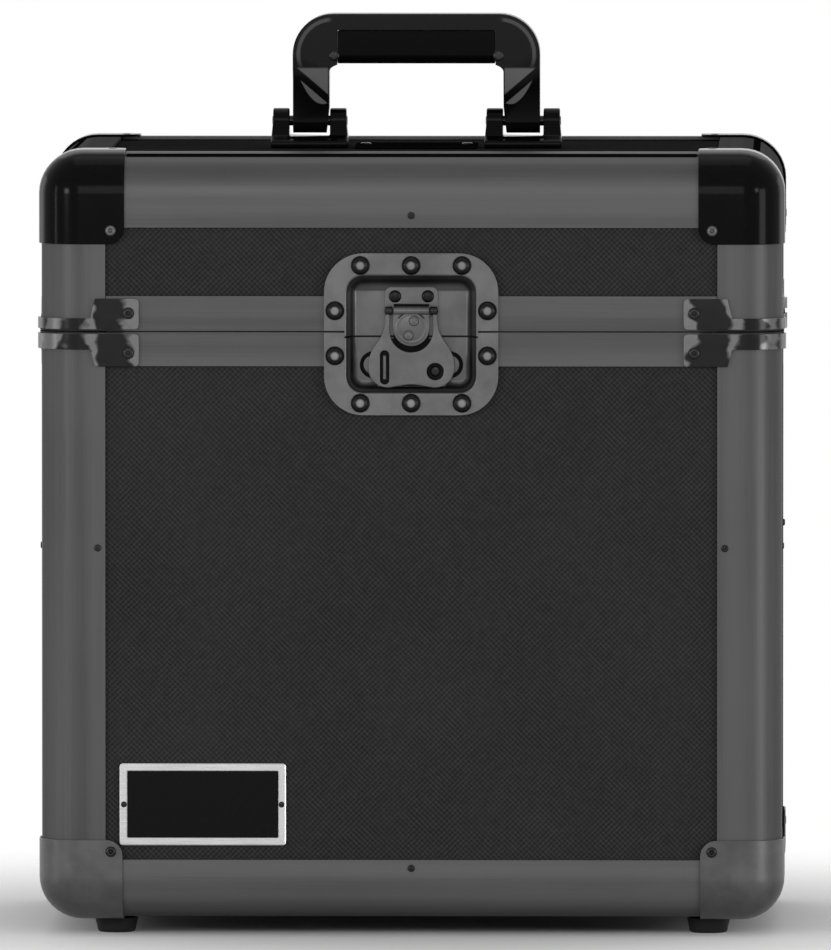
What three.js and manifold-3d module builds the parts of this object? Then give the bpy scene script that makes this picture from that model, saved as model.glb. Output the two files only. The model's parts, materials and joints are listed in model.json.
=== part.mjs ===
// Record carrying case: an upright box for twelve-inch records, with a hinged lid.
// Laminated panels slide into rounded aluminium edge profiles, corners are capped,
// a carrying handle folds on the lid, and a recessed butterfly latch holds the lid down.
// Millimetres, +Z up. The front faces -Y. The feet stand on Z = 0.

import * as THREE from 'three';
import { mergeVertices } from 'three/addons/utils/BufferGeometryUtils.js';
import { RoundedBoxGeometry } from 'three/addons/geometries/RoundedBoxGeometry.js';
import Module from 'manifold-3d';

const wasm = await Module();
wasm.setup();

// Driving dimensions of the whole case, feet and handle left out.
const shell = { width: 362, depth: 281, lower: 287, lid: 87, round: 20 };

// Running gap between pieces that touch, gap between lid and body, and cut overrun.
const seat = 0.3;
const splitGap = 0.6;
const overrun = 5;

// Steps in a quarter of the large roundings, in half of one on the caps, in a full
// small circle and round a rivet.
const roundSteps = 6;
const capSteps = 3;
const quarterSteps = 3;
const circleSteps = 16;
const rivetSteps = 8;
const domeRings = 2;

// Rubber foot: height, radii at top and bottom, edge rounding, distance from the side.
const foot = { height: 7.4, topRadius: 10.6, tipRadius: 9.4, edge: 1.6, inset: 36 };

// Extruded edge profile: outer skin, inner lip, cross web and where the panel ends.
const skin = { thickness: 1.6, lip: 1.4, web: 1.6, seatDepth: 22, lipReach: 6 };
const flange = { post: 31.7, top: 36.3, bottom: 28.8, over: 31.7 };

// Shadow groove along the top edge profiles: its width and depth, and its place on the
// rounding as an angle from the top.
const shadowGroove = { width: 3.4, depth: 0.9, angle: Math.PI * 0.115 };

// Laminated panel.
const panel = { thickness: 9 };

// Foam lining of the body and of the lid.
const lining = { thickness: 4, floor: 5, rimDrop: 2 };

// Closing rails along the split, with a tongue below and a groove above.
const rail = { lower: 16.6, upper: 17, lipLower: 9, lipUpper: 12 };
const tongue = { from: 5.2, width: 2.4, height: 2.7, side: 0.7, above: 0.8 };

// Corner caps: how far they reach from each outer plane, and their inner rounding.
const cap = { thickness: 1, reach: 41, tall: 44.4, lowReach: 40, lowTall: 38.5, round: 8 };
const capRivet = { radius: 2.6, height: 1.3, inset: 34.3 };

// Braces that tie the rails round each corner, above and below the split.
const brace = { thickness: 1.3, reach: 48, taper: 24, slope: 5, upTab: 14.8 };
const strap = { lower: 7.4, upper: 5.2, edge: 0.9 };
const braceRivet = { radius: 2.8, height: 1.3, shank: 1.6, inset: 43, below: 10.4, above: 9 };

// Blind rivets in the middle of each long flange.
const flangeRivet = { radius: 1.6, height: 0.8, postUp: 181.3, postIn: 28, topIn: 30.3, bottomIn: 24.8 };

// Recessed latch: flange, mouth and floor of the pressed dish, halved at the split.
const dish = {
  halfWidth: 42.5,
  above: 38.3,
  below: 40.7,
  round: 19,
  sheet: 1.2,
  depth: 10,
  mouthHalf: 31.2,
  mouthUp: 27.7,
  mouthDown: 30.3,
  mouthRound: 8,
  draft: 3.7,
  step: 2.6,
};
const dishRivet = { radius: 4.5, height: 3.2, edge: 5.9, pitch: 24.8, side: 37.2, up: 10.3, down: 11.7 };

// Round base and stud of the latch in the lower dish, and the staple for a padlock.
const base = { radius: 24, drop: 16.8, height: 2.7 };
const stud = { radius: 2, headRadius: 3.6, drop: 19 };
const staple = { across: 13, drop: 17.6, thickness: 2, span: 12 };

// Keeper in the upper dish.
const keeper = { halfWidth: 13, low: 8.6, high: 21.5, sheet: 1.2, round: 3, lipHalf: 6, lip: 0.7, lipTall: 1.4 };
const keeperRivet = { radius: 3, height: 1.1, across: 8, up: 17 };

// Hook plate, hub, wing and their shared pin. Heights are counted from the split.
const hook = { halfWidth: 8.6, high: 13.4, low: 26.6, sheet: 1.4, travel: 3, noseHalf: 4, nose: 0.5, noseTall: 1.4 };
const hub = { halfWidth: 8.8, up: 1.7, sheet: 1.6, bossRadius: 7, boss: 0.5, spindle: 4 };
const hubRivet = { radius: 2.3, height: 0.7, across: 1.3, along: 3.5 };
const pin = { up: 10.2, radius: 0.9, knuckle: 2.1, knuckleWide: 3.6, sideGap: 0.4 };
const wing = {
  sheet: 1.6,
  neckHalf: 12.6,
  lobeHalf: 21,
  lobeDrop: 17.5,
  drop: 27.4,
  flatHalf: 11,
  dip: 3.2,
  hollow: 10.7,
  slotWide: 4.5,
  slotTall: 16.5,
  slotAcross: 13,
  holeRadius: 4.2,
  holeAcross: 11.7,
  holeDrop: 19.5,
};
const wingCurveShares = { neck: 0.1, flare: 0.5, belly: 0.62, foot: 0.55 };

// Rear hinges of the lid.
const hinge = {
  inset: 89,
  halfWidth: 22,
  leaf: 24,
  sheet: 1.5,
  barrel: 3.2,
  pin: 1.6,
  offset: 4,
  middleHalf: 7.5,
  round: 4,
};
const hingeRivet = { radius: 2.8, height: 1.2, pitch: 14, up: 16 };

// Handle brackets on the lid, each a base with two ears and a pin.
const ear = { halfWidth: 19, topHalf: 18, gapHalf: 10, web: 5.9, base: 15, baseEdge: 3.2 };
const earTop = { radius: 6.2, pinUp: 13.1, pin: 2.5, foot: 9.5 };

// Carrying handle.
const handle = {
  halfWidth: 61,
  height: 53,
  round: 20,
  halfLeg: 9,
  legTaper: 0.7,
  straightTo: 32,
  halfDepth: 11,
  knuckle: 6,
  neck: 15,
  shoulder: 24,
  beam: 24.6,
  bevel: 2.2,
  inner: 9,
};
const grip = { inset: 22.2, height: 16.3, round: 4 };
const gripScrew = { radius: 2.6, height: 0.7, inset: 20.5, drop: 20.7 };

// Thin plate on the lid between the brackets.
const strip = { gap: 3.7, halfDepth: 25, sheet: 1.5, round: 3, screw: 3, screwHeight: 0.9, screwIn: 5 };

// Bare name plate: a raised frame round a sunk field.
const badge = { width: 81.2, height: 40, inset: 38.6, up: 55.9, border: 4, sheet: 0.8, rim: 0.5, round: 2 };
const badgeRivet = { radius: 1.4, height: 0.6, side: 2 };

// Places worked out from the sizes above.
const left = -shell.width / 2;
const right = shell.width / 2;
const front = -shell.depth / 2;
const back = shell.depth / 2;
const capProud = seat + cap.thickness;
const underside = foot.height + capProud;
const split = underside + shell.lower;
const top = split + shell.lid;
const channel = panel.thickness + 2 * seat;
const innerFace = skin.thickness + channel + skin.lip;
const panelOut = skin.thickness + seat;
const panelIn = panelOut + panel.thickness;
const panelEdge = skin.seatDepth + seat;
const earAcross = handle.halfWidth - handle.halfLeg + handle.legTaper;
const bodyTop = split - splitGap / 2;
const lidBottom = split + splitGap / 2;
const railStart = flange.post + seat;
const lowerWeb = skin.web;
const upperWeb = tongue.height + tongue.above + skin.web;

const finishes = {
  aluminium: { color: 0x505155, roughness: 0.45, metalness: 0.6 },
  laminate: { color: 0x27282b, roughness: 0.75, metalness: 0 },
  gloss: { color: 0x101113, roughness: 0.18, metalness: 0.1 },
  steel: { color: 0x66676a, roughness: 0.4, metalness: 0.8 },
  rubber: { color: 0x131313, roughness: 0.85, metalness: 0 },
  foam: { color: 0x1b1c1f, roughness: 0.95, metalness: 0 },
  silver: { color: 0xc9cbce, roughness: 0.35, metalness: 0.9 },
};

// Turns a closed three.js geometry into a solid that can be joined and cut.
function solid(geometry) {
  geometry.deleteAttribute('normal');
  geometry.deleteAttribute('uv');
  const merged = mergeVertices(geometry);
  return new wasm.Manifold(new wasm.Mesh({
    numProp: 3,
    vertProperties: new Float32Array(merged.attributes.position.array),
    triVerts: new Uint32Array(merged.index.array),
  }));
}

function geometryOf(body) {
  const mesh = body.getMesh();
  const geometry = new THREE.BufferGeometry();
  geometry.setAttribute('position', new THREE.BufferAttribute(new Float32Array(mesh.vertProperties), 3));
  geometry.setIndex(new THREE.BufferAttribute(new Uint32Array(mesh.triVerts), 1));
  geometry.computeVertexNormals();
  return geometry;
}

function join(...bodies) {
  return bodies.reduce((sum, next) => sum.add(next));
}

function cut(body, ...tools) {
  return tools.reduce((rest, tool) => rest.subtract(tool), body);
}

// A box between two corners.
function block(x, y, z) {
  const box = new THREE.BoxGeometry(x[1] - x[0], y[1] - y[0], z[1] - z[0]);
  box.translate((x[0] + x[1]) / 2, (y[0] + y[1]) / 2, (z[0] + z[1]) / 2);
  return solid(box);
}

function extrude(shape, depth, steps) {
  return new THREE.ExtrudeGeometry(shape, { depth, bevelEnabled: false, curveSegments: steps });
}

// A shape drawn in X and Z, running along Y.
function frontPrism(shape, y, steps = quarterSteps) {
  const geometry = extrude(shape, y[1] - y[0], steps);
  geometry.rotateX(Math.PI / 2);
  geometry.translate(0, y[1], 0);
  return solid(geometry);
}

// A shape drawn in Y and Z, running along X.
function sidePrism(shape, x, steps = quarterSteps) {
  const geometry = extrude(shape, x[1] - x[0], steps);
  const turn = new THREE.Matrix4().makeBasis(
    new THREE.Vector3(0, 1, 0), new THREE.Vector3(0, 0, 1), new THREE.Vector3(1, 0, 0));
  geometry.applyMatrix4(turn);
  geometry.translate(x[0], 0, 0);
  return solid(geometry);
}

// A shape drawn in X and Y, running up Z.
function topPrism(shape, z, steps = quarterSteps) {
  const geometry = extrude(shape, z[1] - z[0], steps);
  geometry.translate(0, 0, z[0]);
  return solid(geometry);
}

// A rectangle with a rounding of its own at each corner, in the order
// low-low, high-low, high-high, low-high.
function roundedRect(a, b, rounds) {
  const [r0, r1, r2, r3] = rounds;
  const shape = new THREE.Shape();
  shape.moveTo(a[0] + r0, b[0]);
  shape.lineTo(a[1] - r1, b[0]);
  if (r1 > 0) shape.absarc(a[1] - r1, b[0] + r1, r1, -Math.PI / 2, 0);
  shape.lineTo(a[1], b[1] - r2);
  if (r2 > 0) shape.absarc(a[1] - r2, b[1] - r2, r2, 0, Math.PI / 2);
  shape.lineTo(a[0] + r3, b[1]);
  if (r3 > 0) shape.absarc(a[0] + r3, b[1] - r3, r3, Math.PI / 2, Math.PI);
  shape.lineTo(a[0], b[0] + r0);
  if (r0 > 0) shape.absarc(a[0] + r0, b[0] + r0, r0, Math.PI, Math.PI * 1.5);
  return shape;
}

function evenRect(a, b, round) {
  return roundedRect(a, b, [round, round, round, round]);
}

function polygon(points) {
  return new THREE.Shape(points.map(([a, b]) => new THREE.Vector2(a, b)));
}

// A cylinder between two points of one axis.
function rod(axis, centre, span, radius, steps = circleSteps) {
  const geometry = new THREE.CylinderGeometry(radius, radius, span[1] - span[0], steps);
  if (axis === 'x') geometry.rotateZ(Math.PI / 2);
  if (axis === 'z') geometry.rotateX(Math.PI / 2);
  const middle = (span[0] + span[1]) / 2;
  const place = { x: [middle, centre[0], centre[1]], y: [centre[0], middle, centre[1]] };
  place.z = [centre[0], centre[1], middle];
  geometry.translate(...place[axis]);
  return solid(geometry);
}

// The domed head of a rivet with a short shank behind it, standing on the point
// along the outward direction.
function rivetHead(radius, height, shank, point, outward) {
  const profile = [new THREE.Vector2(0, -shank), new THREE.Vector2(radius / 2, -shank)];
  profile.push(new THREE.Vector2(radius / 2, 0));
  for (let ring = 0; ring < domeRings; ring++) {
    const turn = (ring / domeRings) * (Math.PI / 2);
    profile.push(new THREE.Vector2(radius * Math.cos(turn), height * Math.sin(turn)));
  }
  profile.push(new THREE.Vector2(0, height));
  const geometry = new THREE.LatheGeometry(profile, rivetSteps);
  const turn = new THREE.Quaternion().setFromUnitVectors(
    new THREE.Vector3(0, 1, 0), new THREE.Vector3(...outward));
  geometry.applyQuaternion(turn);
  geometry.translate(...point);
  return solid(geometry);
}

// Cross-section of an edge profile: its outline and the hollow cell at its corner.
// Both legs are measured from the outer planes, along a and b. Each leg ends in a
// channel for a panel, between the rounded skin and an inner lip.
function edgeShape(a, b) {
  const place = ([u, v]) => new THREE.Vector2(a.plane + a.sign * u, b.plane + b.sign * v);
  const arc = (radius, turns) => turns.map((turn) => [
    shell.round + radius * Math.cos(turn), shell.round + radius * Math.sin(turn)]);
  const turns = [];
  for (let step = 0; step <= roundSteps; step++) {
    turns.push(-Math.PI / 2 - (step / roundSteps) * (Math.PI / 2));
  }
  const web = skin.seatDepth;
  const webOut = web - skin.web;
  const lipOut = innerFace - skin.lip;
  const lipEnd = web + skin.lipReach;
  const outline = [
    [a.leg, 0], ...arc(shell.round, turns), [0, b.leg],
    [skin.thickness, b.leg], [skin.thickness, web], [lipOut, web], [lipOut, lipEnd],
    [innerFace, lipEnd], [innerFace, innerFace], [lipEnd, innerFace],
    [lipEnd, lipOut], [web, lipOut], [web, skin.thickness], [a.leg, skin.thickness],
  ];
  const cell = [
    [webOut, skin.thickness], ...arc(shell.round - skin.thickness, turns), [skin.thickness, webOut],
    [lipOut, webOut], [lipOut, lipOut], [webOut, lipOut],
  ];
  return [outline, cell].map((points) => new THREE.Shape(points.map(place)));
}

// An edge profile run along its span, with the hollow cell open at both ends.
// The shadow groove, square to the rounding.
function grooveShape(a, b) {
  const turn = shadowGroove.angle;
  const half = shadowGroove.width / 2;
  const at = (along, deep) => new THREE.Vector2(
    a.plane + a.sign * (shell.round - (shell.round - deep) * Math.sin(turn) - along * Math.cos(turn)),
    b.plane + b.sign * (shell.round - (shell.round - deep) * Math.cos(turn) + along * Math.sin(turn)));
  const lift = shell.round * (1 - Math.cos(half / shell.round)) + shadowGroove.depth;
  return new THREE.Shape([at(-half, -lift), at(half, -lift), at(half, shadowGroove.depth), at(-half, shadowGroove.depth)]);
}

function edgeBody(prism, a, b, span, grooved = false) {
  const [outline, cell] = edgeShape(a, b);
  const through = [span[0] - overrun, span[1] + overrun];
  const body = prism(outline, span).subtract(prism(cell, through));
  return grooved ? body.subtract(prism(grooveShape(a, b), through)) : body;
}

// The four upright edges and the two levels of lying edges of the box.
const sides = {
  left: { plane: left, sign: 1 },
  right: { plane: right, sign: -1 },
  front: { plane: front, sign: 1 },
  back: { plane: back, sign: -1 },
};
const levels = {
  bottom: { plane: underside, sign: 1 },
  top: { plane: top, sign: -1 },
};

// A blind rivet on an outer face: the side it sits on and where it lies there.
function flangeHead(point, outward) {
  return rivetHead(flangeRivet.radius, flangeRivet.height, skin.thickness / 2, point, outward);
}

function upright(sideX, sideY, z, riveted) {
  const leg = flange.post;
  let body = edgeBody(topPrism, { ...sides[sideX], leg }, { ...sides[sideY], leg }, z);
  if (riveted) {
    const { plane: x, sign: toX } = sides[sideX];
    const { plane: y, sign: toY } = sides[sideY];
    const up = underside + flangeRivet.postUp;
    body = join(body,
      flangeHead([x + toX * flangeRivet.postIn, y, up], [0, -toY, 0]),
      flangeHead([x, y + toY * flangeRivet.postIn, up], [-toX, 0, 0]));
  }
  return body;
}

function lyingAlongX(sideY, level, leg, rivetIn) {
  const y = { ...sides[sideY], leg: flange.over };
  const z = { ...levels[level], leg };
  const span = [left + railStart, right - railStart];
  const body = edgeBody(sidePrism, y, z, span, level === 'top');
  return join(body, flangeHead([0, y.plane, z.plane + z.sign * rivetIn], [0, -y.sign, 0]));
}

function lyingAlongY(sideX, level, leg, rivetIn) {
  const x = { ...sides[sideX], leg: flange.over };
  const z = { ...levels[level], leg };
  const span = [front + railStart, back - railStart];
  const body = edgeBody(frontPrism, x, z, span, level === 'top');
  return join(body, flangeHead([x.plane, 0, z.plane + z.sign * rivetIn], [-x.sign, 0, 0]));
}

// Corner cap: a thin shell that follows the rounded corner, trimmed on each face
// to a square with one rounded corner, with a rivet on each face.
function cornerShell(grow) {
  const wide = shell.width + 2 * grow;
  const deep = shell.depth + 2 * grow;
  const tall = top - underside + 2 * grow;
  const box = new RoundedBoxGeometry(wide, deep, tall, capSteps, shell.round + grow);
  box.translate(0, 0, (top + underside) / 2);
  return solid(box);
}
const cornerOuter = cornerShell(capProud);
const cornerInner = cornerShell(seat);
const caseShell = cornerOuter.subtract(cornerInner);

function cornerCap(sideX, sideY, level, reach, tall, riveted) {
  const x = sides[sideX];
  const y = sides[sideY];
  const z = levels[level];
  const far = capProud + overrun;
  const span = (side, length) => [side.plane - side.sign * far, side.plane + side.sign * length].sort((p, q) => p - q);
  const faceShape = (a, lengthA, b, lengthB) => {
    const round = [0, 0, 0, 0];
    const index = { '1,1': 2, '-1,1': 3, '-1,-1': 0, '1,-1': 1 }[`${a.sign},${b.sign}`];
    round[index] = cap.round;
    return roundedRect(span(a, lengthA), span(b, lengthB), round);
  };
  const body = caseShell
    .intersect(frontPrism(faceShape(x, reach, z, tall), span(y, reach)))
    .intersect(sidePrism(faceShape(y, reach, z, tall), span(x, reach)))
    .intersect(topPrism(faceShape(x, reach, y, reach), span(z, tall)));
  const inset = capRivet.inset;
  const at = (side, length) => side.plane + side.sign * length;
  const head = (point, outward) => rivetHead(
    capRivet.radius, capRivet.height, cap.thickness / 2, point, outward);
  const upright = tall - (reach - inset);
  const heads = [
    head([at(x, inset), at(y, -capProud), at(z, upright)], [0, -y.sign, 0]),
    head([at(x, -capProud), at(y, inset), at(z, upright)], [-x.sign, 0, 0]),
  ];
  if (riveted) heads.push(head([at(x, inset), at(y, inset), at(z, -capProud)], [0, 0, -z.sign]));
  return join(body, ...heads);
}

// Panels. Each one ends in the channels of the profiles round it.
function facePanel(sideY, z) {
  const y = sides[sideY];
  const span = [y.plane + y.sign * panelOut, y.plane + y.sign * panelIn].sort((p, q) => p - q);
  return block([left + panelEdge, right - panelEdge], span, z);
}

function sidePanel(sideX, z) {
  const x = sides[sideX];
  const span = [x.plane + x.sign * panelOut, x.plane + x.sign * panelIn].sort((p, q) => p - q);
  return block(span, [front + panelEdge, back - panelEdge], z);
}

function levelPanel(level) {
  const z = levels[level];
  const span = [z.plane + z.sign * panelOut, z.plane + z.sign * panelIn].sort((p, q) => p - q);
  return block([left + panelEdge, right - panelEdge], [front + panelEdge, back - panelEdge], span);
}

const lowerPanelZ = [underside + panelEdge, bodyTop - lowerWeb - seat];
const lidPanelZ = [lidBottom + upperWeb + seat, top - panelEdge];

// Closing rail of the body: skin, channel for the panel, inner lip and a tongue.
function lowerRailShape(side) {
  const place = ([u, z]) => [side.plane + side.sign * u, bodyTop + z];
  const tip = tongue.height + splitGap / 2;
  const lipOut = innerFace - skin.lip;
  return polygon([
    [0, -rail.lower], [0, 0], [tongue.from, 0], [tongue.from, tip],
    [tongue.from + tongue.width, tip], [tongue.from + tongue.width, 0], [innerFace, 0],
    [innerFace, -rail.lipLower], [lipOut, -rail.lipLower], [lipOut, -lowerWeb],
    [skin.thickness, -lowerWeb], [skin.thickness, -rail.lower],
  ].map(place));
}

// Closing rail of the lid: the same with a groove that drops over the tongue.
function upperRailShape(side) {
  const place = ([u, z]) => [side.plane + side.sign * u, lidBottom + z];
  const roof = tongue.height + tongue.above;
  const grooveFrom = tongue.from - tongue.side;
  const grooveTo = tongue.from + tongue.width + tongue.side;
  const lipOut = innerFace - skin.lip;
  return polygon([
    [0, rail.upper], [0, 0], [grooveFrom, 0], [grooveFrom, roof], [grooveTo, roof], [grooveTo, 0],
    [innerFace, 0], [innerFace, rail.lipUpper], [lipOut, rail.lipUpper], [lipOut, upperWeb],
    [skin.thickness, upperWeb], [skin.thickness, rail.upper],
  ].map(place));
}

// Braces round the four corners, cut from one band that follows the rounded corners.
// The band narrows from a full tab on each face to a strap round the corner.
function braceBand(z) {
  const ring = (grow) => topPrism(evenRect(
    [left - grow, right + grow], [front - grow, back + grow], shell.round + grow), z);
  return ring(seat + brace.thickness).subtract(ring(seat));
}

function braceRing(z, strapZ) {
  const proud = seat + brace.thickness;
  let band = braceBand(z);
  const clearX = [left + brace.reach, right - brace.reach];
  const clearY = [front + brace.reach, back - brace.reach];
  band = cut(band,
    block(clearX, [front - proud - overrun, back + proud + overrun], [z[0] - overrun, z[1] + overrun]),
    block([left - proud - overrun, right + proud + overrun], clearY, [z[0] - overrun, z[1] + overrun]));
  const far = proud + overrun;
  for (const side of ['left', 'right']) {
    band = cut(band, frontPrism(waist(sides[side], z, strapZ, far), [front - far, front + shell.round]),
      frontPrism(waist(sides[side], z, strapZ, far), [back - shell.round, back + far]));
  }
  for (const side of ['front', 'back']) {
    band = cut(band, sidePrism(waist(sides[side], z, strapZ, far), [left - far, left + shell.round]),
      sidePrism(waist(sides[side], z, strapZ, far), [right - shell.round, right + far]));
  }
  return band;
}

// Outline of what is cut away beside a strap, seen square to one face. The strap
// lies at the end of the band nearer the split.
function waist(side, z, strapZ, far) {
  const nearStrap = Math.abs(strapZ[0] - z[0]) < Math.abs(strapZ[1] - z[1]) ? strapZ[1] : strapZ[0];
  const farEnd = nearStrap === strapZ[1] ? z[1] + overrun : z[0] - overrun;
  const at = (u) => side.plane + side.sign * u;
  return polygon([
    [at(-far), nearStrap], [at(brace.taper - brace.slope), nearStrap],
    [at(brace.taper), (nearStrap + farEnd) / 2], [at(brace.taper + brace.slope), farEnd], [at(-far), farEnd],
  ]);
}

// Rivets that hold the tabs of the braces to the rails.
function braceRivets(z) {
  const proud = seat + brace.thickness;
  const heads = [];
  for (const x of [sides.left, sides.right]) {
    for (const y of [sides.front, sides.back]) {
      const onFace = [x.plane + x.sign * braceRivet.inset, y.plane - y.sign * proud, z];
      const onSide = [x.plane - x.sign * proud, y.plane + y.sign * braceRivet.inset, z];
      const shank = proud + skin.thickness / 2;
      heads.push(rivetHead(braceRivet.radius, braceRivet.height, shank, onFace, [0, -y.sign, 0]));
      heads.push(rivetHead(braceRivet.radius, braceRivet.height, shank, onSide, [-x.sign, 0, 0]));
    }
  }
  return heads;
}

function rimRails(shapeOf) {
  const spanX = [left + railStart, right - railStart];
  const spanY = [front + railStart, back - railStart];
  return join(sidePrism(shapeOf(sides.front), spanX), sidePrism(shapeOf(sides.back), spanX),
    frontPrism(shapeOf(sides.left), spanY), frontPrism(shapeOf(sides.right), spanY));
}

// Room for the latch dish in the rails and in the front panels, behind the flange.
function dishRoom() {
  const grow = dish.sheet + seat;
  const shape = evenRect([-dish.mouthHalf - grow, dish.mouthHalf + grow],
    [split - dish.mouthDown - grow, split + dish.mouthUp + grow], dish.mouthRound + grow);
  return frontPrism(shape, [front - overrun, front + dish.depth]);
}

function bodyRim() {
  const top = bodyTop - strap.edge;
  const z = [bodyTop - rail.lower, top];
  const ring = braceRing(z, [top - strap.lower, top]);
  const rails = cut(rimRails(lowerRailShape), dishRoom());
  return join(rails, ring, ...braceRivets(split - braceRivet.below));
}

function lidRim() {
  const low = lidBottom + strap.edge;
  const z = [low, low + brace.upTab];
  const ring = braceRing(z, [low, low + strap.upper]);
  const rails = cut(rimRails(upperRailShape), dishRoom());
  return join(rails, ring, ...braceRivets(split + braceRivet.above));
}

// Foam lining: an open tub in the body and a shallow one turned over in the lid.
const liningOuter = innerFace + seat;
function liningTub(closedZ, openZ) {
  const wall = liningOuter + lining.thickness;
  const outer = [Math.min(closedZ, openZ), Math.max(closedZ, openZ)];
  const inner = closedZ < openZ
    ? [closedZ + lining.floor, openZ + overrun] : [openZ - overrun, closedZ - lining.floor];
  return block([left + liningOuter, right - liningOuter], [front + liningOuter, back - liningOuter], outer)
    .subtract(topPrism(evenRect([left + wall, right - wall], [front + wall, back - wall],
      lining.thickness), inner));
}

// Rubber foot: a tapered stub with a rounded lower edge.
function rubberFoot(sideX, sideY) {
  const tip = foot.edge;
  const profile = [new THREE.Vector2(0, 0), new THREE.Vector2(foot.tipRadius - tip, 0)];
  for (let step = 1; step <= quarterSteps; step++) {
    const turn = (step / quarterSteps) * (Math.PI / 2);
    profile.push(new THREE.Vector2(foot.tipRadius - tip + tip * Math.sin(turn), tip - tip * Math.cos(turn)));
  }
  profile.push(new THREE.Vector2(foot.topRadius, foot.height - seat), new THREE.Vector2(0, foot.height - seat));
  const geometry = new THREE.LatheGeometry(profile, circleSteps);
  geometry.rotateX(Math.PI / 2);
  const x = sides[sideX];
  const y = sides[sideY];
  geometry.translate(x.plane + x.sign * foot.inset, y.plane + y.sign * foot.inset, 0);
  return solid(geometry);
}

// Levels of the latch, counted from the front plane into the case.
const flangeFront = front - seat - dish.sheet;
const floorFront = flangeFront + dish.depth;
const floorBack = floorFront + dish.sheet;
const baseFront = floorFront - base.height;
const hookBack = baseFront - seat;
const hookFront = hookBack - hook.sheet;
const pinLevel = hookFront - seat - pin.knuckle;
const wingBack = pinLevel + wing.sheet / 2;
const wingFront = pinLevel - wing.sheet / 2;
const keeperBack = floorFront - seat;
const keeperFront = keeperBack - keeper.sheet;

// A closed skin through rings with the same number of points, capped at both ends.
function loft(rings) {
  const points = rings.flat();
  const count = rings[0].length;
  const faces = [];
  for (let ring = 0; ring + 1 < rings.length; ring++) {
    for (let i = 0; i < count; i++) {
      const j = (i + 1) % count;
      const [a, b] = [ring * count + i, ring * count + j];
      faces.push(a, b + count, b, a, a + count, b + count);
    }
  }
  const lastRing = (rings.length - 1) * count;
  for (let i = 1; i + 1 < count; i++) {
    faces.push(0, i, i + 1, lastRing, lastRing + i + 1, lastRing + i);
  }
  const geometry = new THREE.BufferGeometry();
  geometry.setAttribute('position', new THREE.BufferAttribute(new Float32Array(points.flat()), 3));
  geometry.setIndex(faces);
  return solid(geometry);
}

// The drafted pocket of the dish, grown outwards by the sheet for its outer side.
function pocket(grow, floor) {
  const ring = (shrink, y) => {
    const half = dish.mouthHalf + grow - shrink;
    const low = split - dish.mouthDown - grow + shrink;
    const high = split + dish.mouthUp + grow - shrink;
    const points = evenRect([-half, half], [low, high], dish.mouthRound + grow - shrink / 2).getPoints(quarterSteps);
    return points.slice(0, -1).map((point) => [point.x, y, point.y]);
  };
  const slope = dish.draft / dish.depth;
  const mouth = flangeFront - overrun;
  return loft([ring(-slope * overrun, mouth), ring(slope * (floor - flangeFront), floor)]);
}

function pressedDish() {
  const plate = frontPrism(evenRect([-dish.halfWidth, dish.halfWidth],
    [split - dish.below, split + dish.above], dish.round), [flangeFront, front - seat]);
  const cup = pocket(dish.sheet, floorBack)
    .intersect(block([-dish.halfWidth, dish.halfWidth],
      [flangeFront, floorBack + overrun], [split - dish.below, split + dish.above]));
  return join(plate, cup).subtract(pocket(0, floorFront));
}

const wholeDish = pressedDish();

// Where the two halves of the dish part: at the split on the flange, lower in the pocket.
function dishParting(z, gap) {
  const wide = [-dish.halfWidth - overrun, dish.halfWidth + overrun];
  const pocketHalf = dish.mouthHalf + dish.sheet - gap;
  return join(
    block(wide, [flangeFront - overrun, floorBack + overrun], [split + gap, z]),
    block([-pocketHalf, pocketHalf], [front + gap, floorBack + overrun], [split - dish.step + gap, z]));
}

function domedRivet(x, z) {
  return rivetHead(dishRivet.radius, dishRivet.height, dish.sheet / 2, [x, flangeFront, z], [0, -1, 0]);
}

function lowerDish() {
  const bottomRow = split - dish.below + dishRivet.edge;
  const half = wholeDish.subtract(dishParting(split + dish.above + overrun, -splitGap / 2));
  const drum = rod('y', [0, split - base.drop], [baseFront, floorFront + dish.sheet / 2], base.radius, circleSteps * 2)
    .subtract(block([-base.radius - overrun, base.radius + overrun], [baseFront - overrun, floorBack + overrun],
      [split - dish.step - splitGap / 2, split + base.radius]));
  const drumInCup = drum.intersect(pocket(dish.sheet / 2, floorBack - dish.sheet / 2));
  const post = rod('y', [0, split - stud.drop], [wingBack + seat, baseFront + dish.sheet / 2], stud.radius);
  const head = rod('y', [0, split - stud.drop], [wingBack + seat, hookFront - seat], stud.headRadius);
  return join(half, drumInCup, post, head, padlockStaple(),
    domedRivet(-dishRivet.pitch, bottomRow), domedRivet(0, bottomRow), domedRivet(dishRivet.pitch, bottomRow),
    domedRivet(-dishRivet.side, split - dishRivet.down), domedRivet(dishRivet.side, split - dishRivet.down));
}

// Flat eye that stands up behind the slot of the wing.
function padlockStaple() {
  const tip = wingBack + seat;
  const middle = split - staple.drop;
  const outline = evenRect([tip, baseFront + dish.sheet / 2],
    [middle - staple.span / 2, middle + staple.span / 2], (baseFront - tip) / 2);
  return sidePrism(outline, [-staple.across - staple.thickness / 2, -staple.across + staple.thickness / 2]);
}

function upperDish() {
  const topRow = split + dish.above - dishRivet.edge;
  const half = wholeDish.intersect(dishParting(split + dish.above + overrun, splitGap / 2));
  return join(half,
    domedRivet(-dishRivet.pitch, topRow), domedRivet(0, topRow), domedRivet(dishRivet.pitch, topRow),
    domedRivet(-dishRivet.side, split + dishRivet.up), domedRivet(dishRivet.side, split + dishRivet.up));
}

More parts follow.
